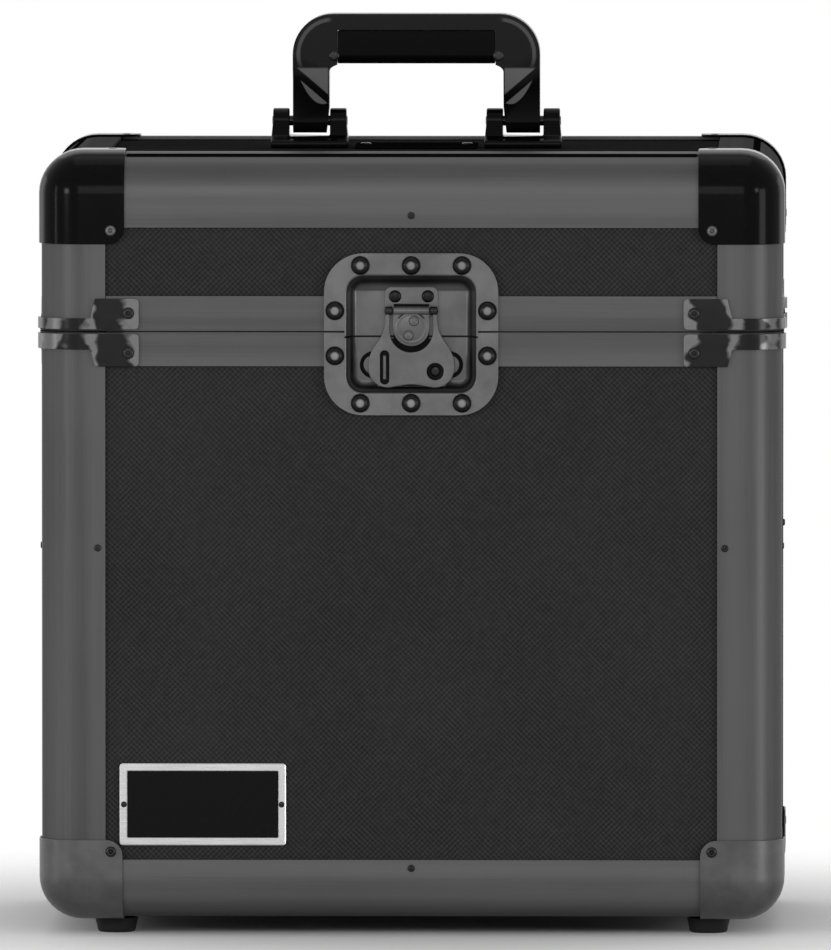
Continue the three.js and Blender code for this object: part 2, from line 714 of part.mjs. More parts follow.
function latchKeeper() {
  const plate = frontPrism(evenRect([-keeper.halfWidth, keeper.halfWidth],
    [split + keeper.low, split + keeper.high], keeper.round), [keeperFront, keeperBack]);
  const lip = block([-keeper.lipHalf, keeper.lipHalf], [keeperFront - keeper.lip, keeperBack],
    [split + keeper.low, split + keeper.low + keeper.lipTall]);
  const rivet = (x) => rivetHead(keeperRivet.radius, keeperRivet.height, keeper.sheet / 2,
    [x, keeperFront, split + keeperRivet.up], [0, -1, 0]);
  return join(plate, lip, rivet(-keeperRivet.across), rivet(keeperRivet.across));
}

// Hook plate: slides up the base on the stud, its nose over the lip of the keeper.
function latchHook() {
  const plate = frontPrism(roundedRect([-hook.halfWidth, hook.halfWidth], [split - hook.low, split + hook.high],
    [hook.halfWidth / 2, hook.halfWidth / 2, 0, 0]), [hookFront, hookBack]);
  const nose = block([-hook.noseHalf, hook.noseHalf], [hookFront, hookBack + hook.nose],
    [split + hook.high - hook.noseTall, split + hook.high]);
  const slotHalf = stud.radius + seat;
  const slot = frontPrism(evenRect([-slotHalf, slotHalf],
    [split - stud.drop - hook.travel - slotHalf, split - stud.drop + slotHalf], slotHalf),
  [hookFront - overrun, hookBack + overrun]);
  const bore = rod('y', [0, split + hub.up], [hookFront - overrun, hookBack + overrun], hub.spindle + seat);
  return cut(join(plate, nose), slot, bore);
}

// Hub: a plate with a round end on a spindle, a rolled knuckle and the pin through it.
function latchHub() {
  const shape = new THREE.Shape();
  const z = split + hub.up;
  shape.moveTo(-hub.halfWidth, z);
  shape.absarc(0, z, hub.halfWidth, Math.PI, Math.PI * 2);
  shape.lineTo(hub.halfWidth, split + pin.up);
  shape.lineTo(-hub.halfWidth, split + pin.up);
  const plate = frontPrism(shape, [pinLevel - hub.sheet / 2, pinLevel + hub.sheet / 2]);
  const boss = rod('y', [0, z], [pinLevel - hub.sheet / 2 - hub.boss, pinLevel], hub.bossRadius, circleSteps + rivetSteps);
  const spindle = rod('y', [0, z], [pinLevel, hookBack - seat / 2], hub.spindle);
  const knuckle = rod('x', [pinLevel, split + pin.up], [-hub.halfWidth, hub.halfWidth], pin.knuckle);
  const pinHalf = hub.halfWidth + pin.sideGap + pin.knuckleWide + seat;
  const stem = rod('x', [pinLevel, split + pin.up], [-pinHalf, pinHalf], pin.radius, rivetSteps);
  const face = pinLevel - hub.sheet / 2 - hub.boss;
  const rivet = (sign) => rivetHead(hubRivet.radius, hubRivet.height, hub.boss,
    [-sign * hubRivet.across, face, z - sign * hubRivet.along], [0, -1, 0]);
  return join(plate, boss, spindle, knuckle, stem, rivet(1), rivet(-1));
}

// Half outline of the wing from the neck down to the middle of its lower edge.
function wingShape() {
  const s = wingCurveShares;
  const height = pin.up + wing.drop;
  const neck = split + pin.up - height * s.neck;
  const lobe = split - wing.lobeDrop;
  const bottom = split - wing.drop;
  const flare = (neck + lobe) / 2;
  const belly = lobe + (bottom - lobe) * s.belly;
  const shape = new THREE.Shape();
  const footX = wing.flatHalf + (wing.lobeHalf - wing.flatHalf) * s.foot;
  shape.moveTo(-wing.neckHalf, split + pin.up);
  shape.lineTo(-wing.neckHalf, neck);
  shape.bezierCurveTo(-wing.neckHalf, flare, -wing.lobeHalf, flare, -wing.lobeHalf, lobe);
  shape.bezierCurveTo(-wing.lobeHalf, belly, -footX, bottom, -wing.flatHalf, bottom);
  shape.quadraticCurveTo(0, bottom + wing.dip, wing.flatHalf, bottom);
  shape.bezierCurveTo(footX, bottom, wing.lobeHalf, belly, wing.lobeHalf, lobe);
  shape.bezierCurveTo(wing.lobeHalf, flare, wing.neckHalf, flare, wing.neckHalf, neck);
  shape.lineTo(wing.neckHalf, split + pin.up);
  shape.lineTo(wing.hollow, split + pin.up);
  shape.lineTo(wing.hollow, split + hub.up);
  shape.absarc(0, split + hub.up, wing.hollow, 0, -Math.PI, true);
  shape.lineTo(-wing.hollow, split + pin.up);
  return shape;
}

function latchWing() {
  const plate = frontPrism(wingShape(), [wingFront, wingBack], quarterSteps + 1);
  const from = hub.halfWidth + pin.sideGap;
  const to = from + pin.knuckleWide;
  const centre = [pinLevel, split + pin.up];
  const knuckles = join(rod('x', centre, [from, to], pin.knuckle),
    rod('x', centre, [-to, -from], pin.knuckle));
  const bore = rod('x', centre, [-to - overrun, to + overrun], pin.radius + seat, rivetSteps);
  const slot = frontPrism(evenRect([-wing.slotAcross - wing.slotWide / 2, -wing.slotAcross + wing.slotWide / 2],
    [split - wing.lobeDrop - wing.slotTall / 2, split - wing.lobeDrop + wing.slotTall / 2], wing.slotWide / 2),
  [wingFront - overrun, wingBack + overrun]);
  const hole = rod('y', [wing.holeAcross, split - wing.holeDrop], [wingFront - overrun, wingBack + overrun],
    wing.holeRadius);
  return cut(join(plate, knuckles), bore, slot, hole);
}

// Rear hinges. The lower leaf carries two knuckles and the pin, the upper leaf the
// middle knuckle. Each leaf is notched for the other's knuckles.
const hingeAxis = [back + hinge.offset, split];
function hingeLeaf(across, sign) {
  const z = sign < 0 ? [split - hinge.leaf, split] : [split, split + hinge.leaf];
  const rounds = sign < 0 ? [hinge.round, hinge.round, 0, 0] : [0, 0, hinge.round, hinge.round];
  const leafY = [back + seat, back + seat + hinge.sheet];
  const leaf = frontPrism(roundedRect([across - hinge.halfWidth, across + hinge.halfWidth], z, rounds), leafY);
  const rivets = [-hingeRivet.pitch, 0, hingeRivet.pitch].map((x) => rivetHead(
    hingeRivet.radius, hingeRivet.height, hinge.sheet / 2,
    [across + x, leafY[1], split + sign * hingeRivet.up], [0, 1, 0]));
  return join(leaf, ...rivets);
}

function notch(x, grow) {
  const reach = hinge.barrel + grow;
  return rod('x', hingeAxis, x, reach / Math.cos(Math.PI / circleSteps));
}

function knuckle(x) {
  return rod('x', hingeAxis, x, hinge.barrel);
}

function lowerHinge(across) {
  const ends = [[across - hinge.halfWidth, across - hinge.middleHalf], [across + hinge.middleHalf, across + hinge.halfWidth]];
  const clear = [across - hinge.middleHalf - seat, across + hinge.middleHalf + seat];
  const leaf = cut(hingeLeaf(across, -1), notch(clear, seat),
    block(clear, [back, hingeAxis[0]], [split - hinge.barrel - seat, split + overrun]));
  const knuckles = ends.map(([from, to]) => knuckle(from < across
    ? [from, to - seat] : [from + seat, to]));
  return join(leaf, ...knuckles,
    rod('x', hingeAxis, [across - hinge.halfWidth, across + hinge.halfWidth], hinge.pin));
}

function upperHinge(across) {
  const wide = hinge.halfWidth + overrun;
  const z = [split - overrun, split + hinge.barrel + seat];
  const y = [back, hingeAxis[0]];
  const inner = hinge.middleHalf;
  const leaf = cut(hingeLeaf(across, 1),
    block([across - wide, across - inner], y, z), block([across + inner, across + wide], y, z));
  return cut(join(leaf, knuckle([across - inner, across + inner])),
    rod('x', hingeAxis, [across - wide, across + wide], hinge.pin + seat));
}

// Handle bracket: a base with two tapered ears and the pin between them.
const lidFace = top - panelOut;
function handleBracket(across) {
  const z = (up) => lidFace + seat + up;
  const high = earTop.pinUp + earTop.radius;
  const face = polygon([
    [across - ear.halfWidth, z(0)], [across + ear.halfWidth, z(0)], [across + ear.halfWidth, z(ear.baseEdge)],
    [across + ear.topHalf, z(high)], [across + ear.gapHalf, z(high)], [across + ear.gapHalf, z(ear.web)],
    [across - ear.gapHalf, z(ear.web)], [across - ear.gapHalf, z(high)], [across - ear.topHalf, z(high)],
    [across - ear.halfWidth, z(ear.baseEdge)],
  ]);
  const profile = new THREE.Shape();
  profile.moveTo(-ear.base, z(0));
  profile.lineTo(ear.base, z(0));
  profile.lineTo(ear.base, z(ear.baseEdge));
  profile.lineTo(earTop.foot, z(ear.web));
  profile.lineTo(earTop.radius, z(earTop.pinUp));
  profile.absarc(0, z(earTop.pinUp), earTop.radius, 0, Math.PI);
  profile.lineTo(-earTop.foot, z(ear.web));
  profile.lineTo(-ear.base, z(ear.baseEdge));
  const reach = ear.halfWidth + overrun;
  const body = frontPrism(face, [-ear.base, ear.base])
    .intersect(sidePrism(profile, [across - reach, across + reach]));
  const stem = rod('x', [0, z(earTop.pinUp)], [across - ear.topHalf, across + ear.topHalf], earTop.pin);
  return join(body, stem);
}

// Handle frame: an arch with rounded shoulders, thinned towards the pins in depth
// and bored for them, with a seat for the grip under its beam.
const pinHeight = lidFace + seat + earTop.pinUp;
const handleTop = pinHeight + handle.height;
function handleFrame() {
  const outer = handle.halfWidth;
  const foot = earAcross + handle.halfLeg - handle.legTaper;
  const footInner = earAcross - handle.halfLeg + handle.legTaper;
  const inner = handle.halfWidth - 2 * handle.halfLeg;
  const low = pinHeight - handle.knuckle;
  const beam = handleTop - handle.beam;
  const shape = new THREE.Shape();
  shape.moveTo(foot, low);
  shape.lineTo(outer, handleTop - handle.straightTo);
  shape.lineTo(outer, handleTop - handle.round);
  shape.absarc(outer - handle.round, handleTop - handle.round, handle.round, 0, Math.PI / 2);
  shape.lineTo(-outer + handle.round, handleTop);
  shape.absarc(-outer + handle.round, handleTop - handle.round, handle.round, Math.PI / 2, Math.PI);
  shape.lineTo(-outer, handleTop - handle.straightTo);
  shape.lineTo(-foot, low);
  shape.lineTo(-footInner, low);
  shape.lineTo(-inner, beam - handle.inner);
  shape.absarc(-inner + handle.inner, beam - handle.inner, handle.inner, Math.PI, Math.PI / 2, true);
  shape.lineTo(inner - handle.inner, beam);
  shape.absarc(inner - handle.inner, beam - handle.inner, handle.inner, Math.PI / 2, 0, true);
  shape.lineTo(footInner, low);
  const bevel = handle.bevel;
  const geometry = new THREE.ExtrudeGeometry(shape, {
    depth: 2 * (handle.halfDepth - bevel),
    bevelEnabled: true,
    bevelThickness: bevel,
    bevelSize: bevel,
    bevelOffset: -bevel,
    bevelSegments: 2,
    curveSegments: quarterSteps,
  });
  geometry.rotateX(Math.PI / 2);
  geometry.translate(0, handle.halfDepth - bevel, 0);
  const wide = outer + overrun;
  const body = solid(geometry).intersect(sidePrism(handleDepth(), [-wide, wide]));
  const bore = rod('x', [0, pinHeight], [-wide, wide], earTop.pin + seat);
  return cut(body, bore, gripBody(seat));
}

// Depth of the handle, seen from the side: round at the pin, full at the shoulder.
function handleDepth() {
  const profile = new THREE.Shape();
  profile.moveTo(-handle.knuckle, pinHeight);
  profile.absarc(0, pinHeight, handle.knuckle, Math.PI, Math.PI * 2);
  profile.lineTo(handle.knuckle, pinHeight + handle.neck);
  profile.lineTo(handle.halfDepth, pinHeight + handle.shoulder);
  profile.lineTo(handle.halfDepth, handleTop + overrun);
  profile.lineTo(-handle.halfDepth, handleTop + overrun);
  profile.lineTo(-handle.halfDepth, pinHeight + handle.shoulder);
  profile.lineTo(-handle.knuckle, pinHeight + handle.neck);
  return profile;
}

// Grip: the soft lower part of the beam, round along its lower edges.
function gripBody(grow) {
  const low = handleTop - handle.beam;
  const past = grow > 0 ? overrun : 0;
  const rounds = grow > 0 ? [0, 0, 0, 0] : [grip.round, grip.round, 0, 0];
  const section = roundedRect([-handle.halfDepth - past, handle.halfDepth + past],
    [low - past, low + grip.height + grow], rounds);
  const reach = handle.halfWidth - grip.inset + grow;
  return sidePrism(section, [-reach, reach]);
}

function handleScrew(sign) {
  return rivetHead(gripScrew.radius, gripScrew.height, gripScrew.height,
    [sign * (handle.halfWidth - gripScrew.inset), -handle.halfDepth, handleTop - gripScrew.drop], [0, -1, 0]);
}

// Thin plate between the brackets with two screws.
function lidStrip() {
  const z = [lidFace + seat, lidFace + seat + strip.sheet];
  const half = earAcross - ear.halfWidth - strip.gap;
  const plate = topPrism(evenRect([-half, half], [-strip.halfDepth, strip.halfDepth], strip.round), z);
  const screw = (sign) => rivetHead(strip.screw, strip.screwHeight, strip.sheet / 2,
    [sign * (half - strip.screwIn), 0, z[1]], [0, 0, 1]);
  return join(plate, screw(-1), screw(1));
}

// Bare name plate: a frame round a sunk field, with two small rivets.
function namePlate() {
  const x = [left + badge.inset, left + badge.inset + badge.width];
  const middle = underside + badge.up;
  const z = [middle - badge.height / 2, middle + badge.height / 2];
  const face = front + panelOut - seat;
  const plate = frontPrism(evenRect(x, z, badge.round), [face - badge.sheet - badge.rim, face]);
  const field = block([x[0] + badge.border, x[1] - badge.border], [face - badge.sheet - overrun, face - badge.sheet],
    [z[0] + badge.border, z[1] - badge.border]);
  const rivet = (at) => rivetHead(badgeRivet.radius, badgeRivet.height, badge.rim,
    [at, face - badge.sheet - badge.rim, middle], [0, -1, 0]);
  return join(plate.subtract(field), rivet(x[0] + badgeRivet.side), rivet(x[1] - badgeRivet.side));
}

const part = new THREE.Group();
const lid = new THREE.Group();
const carrier = new THREE.Group();
const latch = new THREE.Group();

function add(group, name, body, finish) {
  const mesh = new THREE.Mesh(geometryOf(body), new THREE.MeshStandardMaterial(finishes[finish]));
  mesh.name = name;
  group.add(mesh);
}

// Body of the case.
add(part, 'panel_front', facePanel('front', lowerPanelZ).subtract(dishRoom()), 'laminate');
add(part, 'panel_back', facePanel('back', lowerPanelZ), 'laminate');
add(part, 'panel_left', sidePanel('left', lowerPanelZ), 'laminate');
add(part, 'panel_right', sidePanel('right', lowerPanelZ), 'laminate');
add(part, 'panel_bottom', levelPanel('bottom'), 'laminate');
add(lid, 'lid_panel_front', facePanel('front', lidPanelZ).subtract(dishRoom()), 'laminate');
add(lid, 'lid_panel_back', facePanel('back', lidPanelZ), 'laminate');
add(lid, 'lid_panel_left', sidePanel('left', lidPanelZ), 'laminate');
add(lid, 'lid_panel_right', sidePanel('right', lidPanelZ), 'laminate');
add(lid, 'lid_panel_top', levelPanel('top'), 'laminate');

for (const sideX of ['left', 'right']) {
  for (const sideY of ['front', 'back']) {
    const place = `${sideY}_${sideX}`;
    const lowerZ = [underside + skin.seatDepth, bodyTop];
    const upperZ = [lidBottom, top - skin.seatDepth];
    add(part, `post_${place}`, upright(sideX, sideY, lowerZ, true), 'aluminium');
    add(lid, `lid_post_${place}`, upright(sideX, sideY, upperZ, false), 'aluminium');
    add(part, `corner_${place}`,
      cornerCap(sideX, sideY, 'bottom', cap.lowReach, cap.lowTall, false), 'aluminium');
    add(lid, `lid_corner_${place}`, cornerCap(sideX, sideY, 'top', cap.reach, cap.tall, true), 'gloss');
    add(part, `foot_${place}`, rubberFoot(sideX, sideY), 'rubber');
  }
}
for (const side of ['front', 'back']) {
  add(part, `edge_${side}`, lyingAlongX(side, 'bottom', flange.bottom, flangeRivet.bottomIn), 'aluminium');
  add(lid, `lid_edge_${side}`, lyingAlongX(side, 'top', flange.top, flangeRivet.topIn), 'aluminium');
}
for (const side of ['left', 'right']) {
  add(part, `edge_${side}`, lyingAlongY(side, 'bottom', flange.bottom, flangeRivet.bottomIn), 'aluminium');
  add(lid, `lid_edge_${side}`, lyingAlongY(side, 'top', flange.top, flangeRivet.topIn), 'aluminium');
}
add(part, 'body_rim', bodyRim(), 'aluminium');
add(lid, 'lid_rim', lidRim(), 'aluminium');
add(part, 'body_lining', liningTub(underside + liningOuter, bodyTop - lining.rimDrop), 'foam');
add(lid, 'lid_lining', liningTub(top - liningOuter, lidBottom + lining.rimDrop), 'foam');
add(part, 'name_plate', namePlate(), 'silver');

// Latch, hinges and handle.
add(part, 'latch_dish_lower', lowerDish(), 'steel');
add(lid, 'latch_dish_upper', upperDish(), 'steel');
add(lid, 'latch_keeper', latchKeeper(), 'steel');
add(latch, 'latch_hook', latchHook(), 'steel');
add(latch, 'latch_hub', latchHub(), 'steel');
add(latch, 'latch_wing', latchWing(), 'steel');
for (const [name, across] of [['left', left + hinge.inset], ['right', right - hinge.inset]]) {
  add(part, `hinge_lower_${name}`, lowerHinge(across), 'steel');
  add(lid, `hinge_upper_${name}`, upperHinge(across), 'steel');
}
add(lid, 'handle_bracket_left', handleBracket(-earAcross), 'gloss');
add(lid, 'handle_bracket_right', handleBracket(earAcross), 'gloss');
add(lid, 'lid_strip', lidStrip(), 'aluminium');
add(carrier, 'handle_frame', join(handleFrame(), handleScrew(-1), handleScrew(1)), 'gloss');
add(carrier, 'handle_grip', gripBody(0), 'gloss');

// The origin lies under the middle of the whole part, latch rivets and hinges included.
const reachFront = flangeFront - dishRivet.height;
const reachBack = hingeAxis[0] + hinge.barrel;
part.position.y = -(reachFront + reachBack) / 2;
lid.add(carrier);
part.add(lid, latch);

export default part;
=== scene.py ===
import json
import math

import bmesh
import bpy
from mathutils import Matrix, Vector

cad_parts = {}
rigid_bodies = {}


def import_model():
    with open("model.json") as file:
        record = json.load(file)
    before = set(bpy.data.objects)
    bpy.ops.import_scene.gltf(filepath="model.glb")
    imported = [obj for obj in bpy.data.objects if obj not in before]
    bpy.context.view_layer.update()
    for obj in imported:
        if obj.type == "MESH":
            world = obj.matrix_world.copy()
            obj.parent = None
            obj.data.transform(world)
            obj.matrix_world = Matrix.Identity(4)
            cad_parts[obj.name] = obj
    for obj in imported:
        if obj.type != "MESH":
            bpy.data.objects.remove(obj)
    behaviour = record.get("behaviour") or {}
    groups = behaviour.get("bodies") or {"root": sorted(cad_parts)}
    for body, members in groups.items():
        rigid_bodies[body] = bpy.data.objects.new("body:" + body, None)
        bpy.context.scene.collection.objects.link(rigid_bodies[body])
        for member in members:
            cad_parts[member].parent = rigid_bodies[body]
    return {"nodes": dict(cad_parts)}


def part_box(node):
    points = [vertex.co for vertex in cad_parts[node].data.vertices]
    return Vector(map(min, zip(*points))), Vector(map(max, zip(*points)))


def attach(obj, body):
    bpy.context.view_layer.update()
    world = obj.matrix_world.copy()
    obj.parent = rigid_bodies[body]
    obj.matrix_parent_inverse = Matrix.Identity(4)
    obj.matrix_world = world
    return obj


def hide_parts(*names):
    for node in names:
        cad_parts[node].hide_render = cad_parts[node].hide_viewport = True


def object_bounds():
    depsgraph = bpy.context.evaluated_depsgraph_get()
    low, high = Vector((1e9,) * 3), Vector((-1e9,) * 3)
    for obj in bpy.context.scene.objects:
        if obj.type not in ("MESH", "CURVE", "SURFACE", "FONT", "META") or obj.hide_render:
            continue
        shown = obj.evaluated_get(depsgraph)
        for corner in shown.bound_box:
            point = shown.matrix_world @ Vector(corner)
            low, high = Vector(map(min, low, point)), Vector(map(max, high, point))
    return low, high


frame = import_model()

cad_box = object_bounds()
nodes = frame["nodes"]
mm = 0.001


# ---- places

left, front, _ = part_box("lid_post_front_left")[0]
right, back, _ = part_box("lid_post_back_right")[1]
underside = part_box("edge_front")[0].z
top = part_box("lid_edge_front")[1].z
split = (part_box("post_front_left")[1].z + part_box("lid_post_front_left")[0].z) / 2
middle_y = (front + back) / 2
sides = {"left": (left, 1), "right": (right, -1), "front": (front, 1), "back": (back, -1)}
case_corners = [(side_x, side_y) for side_x in ("left", "right") for side_y in ("front", "back")]
sideways, forward, rearward, upward, downward = (1, 0, 0), (0, -1, 0), (0, 1, 0), (0, 0, 1), (0, 0, -1)
near = 0.005 * mm
edge_radius = 20 * mm
cap_proud, cap_rivet_inset = 1.3 * mm, 34.3 * mm
brace_proud = 1.85 * mm
dome_height = 3.2 * mm


# ---- finishes

def paint(grey):
    """A neutral paint as it looks on a screen, 0 to 255, as a linear colour."""
    level = grey / 255
    level = level / 12.92 if level < 0.04045 else ((level + 0.055) / 1.055) ** 2.4
    return (level, level, level, 1)


class Value:
    """A socket in a finish's nodes. Arithmetic on it adds Math nodes."""

    def __init__(self, finish, socket):
        self.finish = finish
        self.socket = socket

    def math(self, operation, *terms):
        return self.finish.add("Math", {"operation": operation}, dict(enumerate(terms)))

    def __add__(self, other):
        return self.math("ADD", self, other)

    def __radd__(self, other):
        return self.math("ADD", other, self)

    def __sub__(self, other):
        return self.math("SUBTRACT", self, other)

    def __rsub__(self, other):
        return self.math("SUBTRACT", other, self)

    def __mul__(self, other):
        return self.math("MULTIPLY", self, other)

    def __rmul__(self, other):
        return self.math("MULTIPLY", other, self)

    def __abs__(self):
        return self.math("ABSOLUTE", self)

    def root_of_squares(self, other):
        return self.math("POWER", self * self + other * other, 0.5)

    def cosine(self):
        return self.math("COSINE", self)

    def least(self, other):
        return self.math("MINIMUM", self, other)

    def most(self, other):
        return self.math("MAXIMUM", self, other)

    def within(self, low, high):
        """0 at low and below, 1 at high and above, smooth in between."""
        return self.finish.add(
            "MapRange", {"interpolation_type": "SMOOTHSTEP"}, {"Value": self, "From Min": low, "From Max": high})


class Finish:
    """A procedural material, built up node by node on one shader."""

    def __init__(self, name, **uniform):
        self.material = bpy.data.materials.new(name)
        self.material.use_nodes = True
        self.tree = self.material.node_tree
        self.set(**uniform)
        self.place = self.add("TexCoord", output="Object")
        axes = self.add("SeparateXYZ", {}, {0: self.place}).socket.node
        self.x, self.y, self.z = (Value(self, out) for out in axes.outputs)

    def feed(self, socket, value):
        if isinstance(value, Value):
            self.tree.links.new(value.socket, socket)
        else:
            socket.default_value = value

    def add(self, kind, settings=(), inputs=(), output=0):
        node = self.tree.nodes.new("ShaderNode" + kind)
        for name, value in dict(settings).items():
            setattr(node, name, value)
        for name, value in dict(inputs).items():
            self.feed(node.inputs[name], value)
        return Value(self, node.outputs[output])

    def noise(self, scale, stretch=None, detail=2.0, roughness=0.5):
        where = self.add("Mapping", {}, {"Vector": self.place, "Scale": stretch}) if stretch else self.place
        return self.add("TexNoise", {}, {"Vector": where, "Scale": scale, "Detail": detail, "Roughness": roughness})

    def mix(self, share, low, high):
        """A colour between two others, each of them a colour or a grey from 0 to 255."""
        low, high = (end if isinstance(end, Value) else paint(end) for end in (low, high))
        return self.add("Mix", {"data_type": "RGBA"}, {0: share, 6: low, 7: high}, output=2)

    def set(self, **sockets):
        shader = self.tree.nodes["Principled BSDF"]
        for name, value in sockets.items():
            self.feed(shader.inputs[name.replace("_", " ")], value)
        return self.material

    def done(self, colour, roughness, height, strength, depth):
        """The material with its colour, its roughness and a bump whose depth is in mm."""
        bump = self.add("Bump", {}, {"Height": height, "Strength": strength, "Distance": depth * mm})
        return self.set(Base_Color=colour, Roughness=roughness, Normal=bump)


def anodised(name, along, grey=82, metallic=0.3, sheen=0.02):
    """Extruded aluminium with a charcoal anodised skin: soft lengthwise bands, hairlines and a fine grain."""
    finish = Finish(name, Metallic=metallic, Specular_IOR_Level=sheen, Specular_Tint=(0.3, 0.3, 0.3, 1))
    run = [0.012 if axis in along else 1.0 for axis in "xyz"]
    bands = finish.noise(95, run, detail=1.5)
    hairs = finish.noise(1400, run)
    grain = finish.noise(2600, detail=1.0)
    wear_and_highlight = finish.noise(9, detail=4.0, roughness=0.62)
    shade = 0.5 + (bands - 0.5) * 1.5 + (hairs - 0.5) * 0.35 + (wear_and_highlight - 0.5) * 0.5
    return finish.done(
        finish.mix(shade.within(0.1, 0.9), grey - 7, grey + 9),
        0.4 + (wear_and_highlight - 0.5) * 0.16 + (grain - 0.5) * 0.1, hairs * 0.6 + grain * 0.4, 0.25, 0.04)


def laminate(name, across, up, sheen=0.1):
    """Hard laminate embossed like a fine diagonal weave: raised crossings, dull hollows and clouds of wear."""
    finish = Finish(name, Specular_IOR_Level=sheen)
    a, b = getattr(finish, across), getattr(finish, up)
    wave = 2 * math.pi / (2.68 * mm)
    lean = (finish.noise(110, detail=1.0) - 0.5) * 0.45
    weave = ((a + b) * wave).cosine() * (0.25 + lean) + ((a - b) * wave).cosine() * (0.25 - lean) + 0.5
    uneven = finish.noise(260)
    clouds = finish.noise(14, detail=3.0)
    grain = finish.noise(2200, detail=1.0)
    tone = weave * (0.3 + uneven * 0.6) + 0.2 + (clouds - 0.5) * 0.3 + (grain - 0.5) * 0.6
    return finish.done(
        finish.mix(tone, 5, 55), 0.62 - weave * 0.16 + (clouds - 0.5) * 0.1, weave + (grain - 0.5) * 0.3, 0.5, 0.18)


def glossy(name, grey, roughness, shine=0.07, shade=None, wear_and_highlight=104):
    """Black enamel: a hard gloss with a trace of orange peel, faint smears and dust. Shade paints a light grey
    highlight onto it by place.
    """
    finish = Finish(name, Specular_IOR_Level=shine)
    peel = finish.noise(420, detail=1.0)
    smears = finish.noise(16, detail=5.0, roughness=0.6)
    dust = finish.noise(1900, detail=0.0).within(0.7, 0.8)
    colour = finish.mix(dust * 0.35, grey, grey + 34)
    if shade:
        # Painted highlight: where shade says, the colour goes towards a light grey.
        colour = finish.mix(shade(finish) * (0.6 + smears * 0.6), colour, wear_and_highlight)
    return finish.done(colour, roughness + (smears - 0.4) * 0.12, peel, 0.12, 0.06)


def enamelled_steel(name, grey, roughness, metallic=0.5, shade=None):
    """Pressed steel under a thin coat: fine pimples, spots of wear and a soft sheen. Shade paints darker shade onto
    it by place.
    """
    finish = Finish(name, Metallic=metallic, Specular_IOR_Level=0.25)
    pimples = finish.noise(1300, detail=1.5)
    wear_and_highlight = finish.noise(38, detail=5.0, roughness=0.65)
    colour = finish.mix(wear_and_highlight.within(0.3, 0.75), grey - 8, grey + 10)
    if shade:
        # Painted shade: where shade says, the colour goes towards a dark grey, about a fifth of the paint's.
        colour = finish.mix(shade(finish), colour, grey * 0.22)
    return finish.done(colour, roughness + (wear_and_highlight - 0.5) * 0.2, pimples, 0.18, 0.06)


def painted_dish_shade(finish):
    """Painted shade down the drafted wall of the latch's dish, lighter half-way and gone on its flange and floor, and
    a painted shadow over the top of the dish, under its upper lip.
    """
    low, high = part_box("latch_dish_lower")
    sunk = finish.y - (low.y + dome_height)
    past_flange = sunk.within(0.5 * mm, 1.3 * mm)
    # Painted shade down the wall, lighter half-way down it.
    painted_wall_shade = past_flange.least(1 - sunk.within(7.4 * mm, 8.8 * mm))
    darker_away_from_mid_wall = abs(sunk - 3.4 * mm).within(0.5 * mm, 2.2 * mm)
    # Painted shadow over the top of the dish, under its upper lip.
    painted_lip_shadow = finish.z.within(high.z + 19.5 * mm, high.z + 20.3 * mm) * past_flange
    return (painted_wall_shade * (0.45 + darker_away_from_mid_wall * 0.5)).most(painted_lip_shadow * 0.72)


def painted_leg_highlights(finish):
    """Painted highlights on the handle: a triangle and a lens across each leg, and an arc round each upper corner."""
    low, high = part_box("handle_frame")
    inner_edge, lens_end, slope = 44 * mm, 57.3 * mm, 0.857
    aside, up = abs(finish.x), finish.z - low.z - 5.9 * mm
    above = up - ((aside - inner_edge) * slope + 8.9 * mm)
    bulge = (aside - inner_edge) * (lens_end - aside) * (4.4 / 44.2 / mm)
    triangle = above.within(4.4 * mm, 5.2 * mm) * (1 - up.within(25.6 * mm, 27 * mm))
    lens = (1 - above.within(-0.3 * mm, 0.2 * mm)) * (above + bulge).within(-0.2 * mm, 0.4 * mm)
    across, rise = aside - (high.x - 20 * mm), finish.z - (high.z - 20 * mm)
    ring = abs(across.root_of_squares(rise) - 17.2 * mm)
    arc_light = (1 - ring.within(0.5 * mm, 1.3 * mm)) * across.within(0, 3 * mm) * rise.within(-9 * mm, 0) * 0.6
    face = aside.within(43.3 * mm, 43.9 * mm) * (1 - aside.within(59.3 * mm, 60.2 * mm))
    return (triangle.most(lens) * face).most(arc_light)


def painted_crown_highlights(finish):
    """Painted highlights on the domed rivets of the latch: their crowns, which stand out furthest."""
    return 1 - (finish.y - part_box("latch_dish_lower")[0].y).within(0, 0.25 * mm)


def steel_with_painted_reflections(name):
    """Polished steel, light and dark by the distance from the corner, with torn edges: the dark bands over the strap
    and the tab are painted reflections.
    """
    finish = Finish(name, Metallic=0.6, Specular_IOR_Level=0.3)
    blotches = finish.noise(74, (1, 1, 1.5), detail=1.5, roughness=0.4)
    streaks = finish.noise(420, (0.3, 0.3, 1), detail=3.0)
    around = (right - abs(finish.x)).most((back - front) / 2 - abs(finish.y - middle_y))
    around = around + (blotches - 0.5) * 22 * mm + (streaks - 0.5) * 3 * mm
    # Painted reflections: dark bands over the strap and the tab, light between and beyond them.
    strap_painted_dark = around.within(7 * mm, 10 * mm) - around.within(20 * mm, 23 * mm)
    tab_painted_dark = around.within(26 * mm, 29 * mm) - around.within(42 * mm, 45 * mm)
    dark = strap_painted_dark + tab_painted_dark
    return finish.done(
        finish.mix(dark, 98, 24), 0.3 - dark * 0.1 + (streaks - 0.5) * 0.1, blotches, 0.2, 0.6)


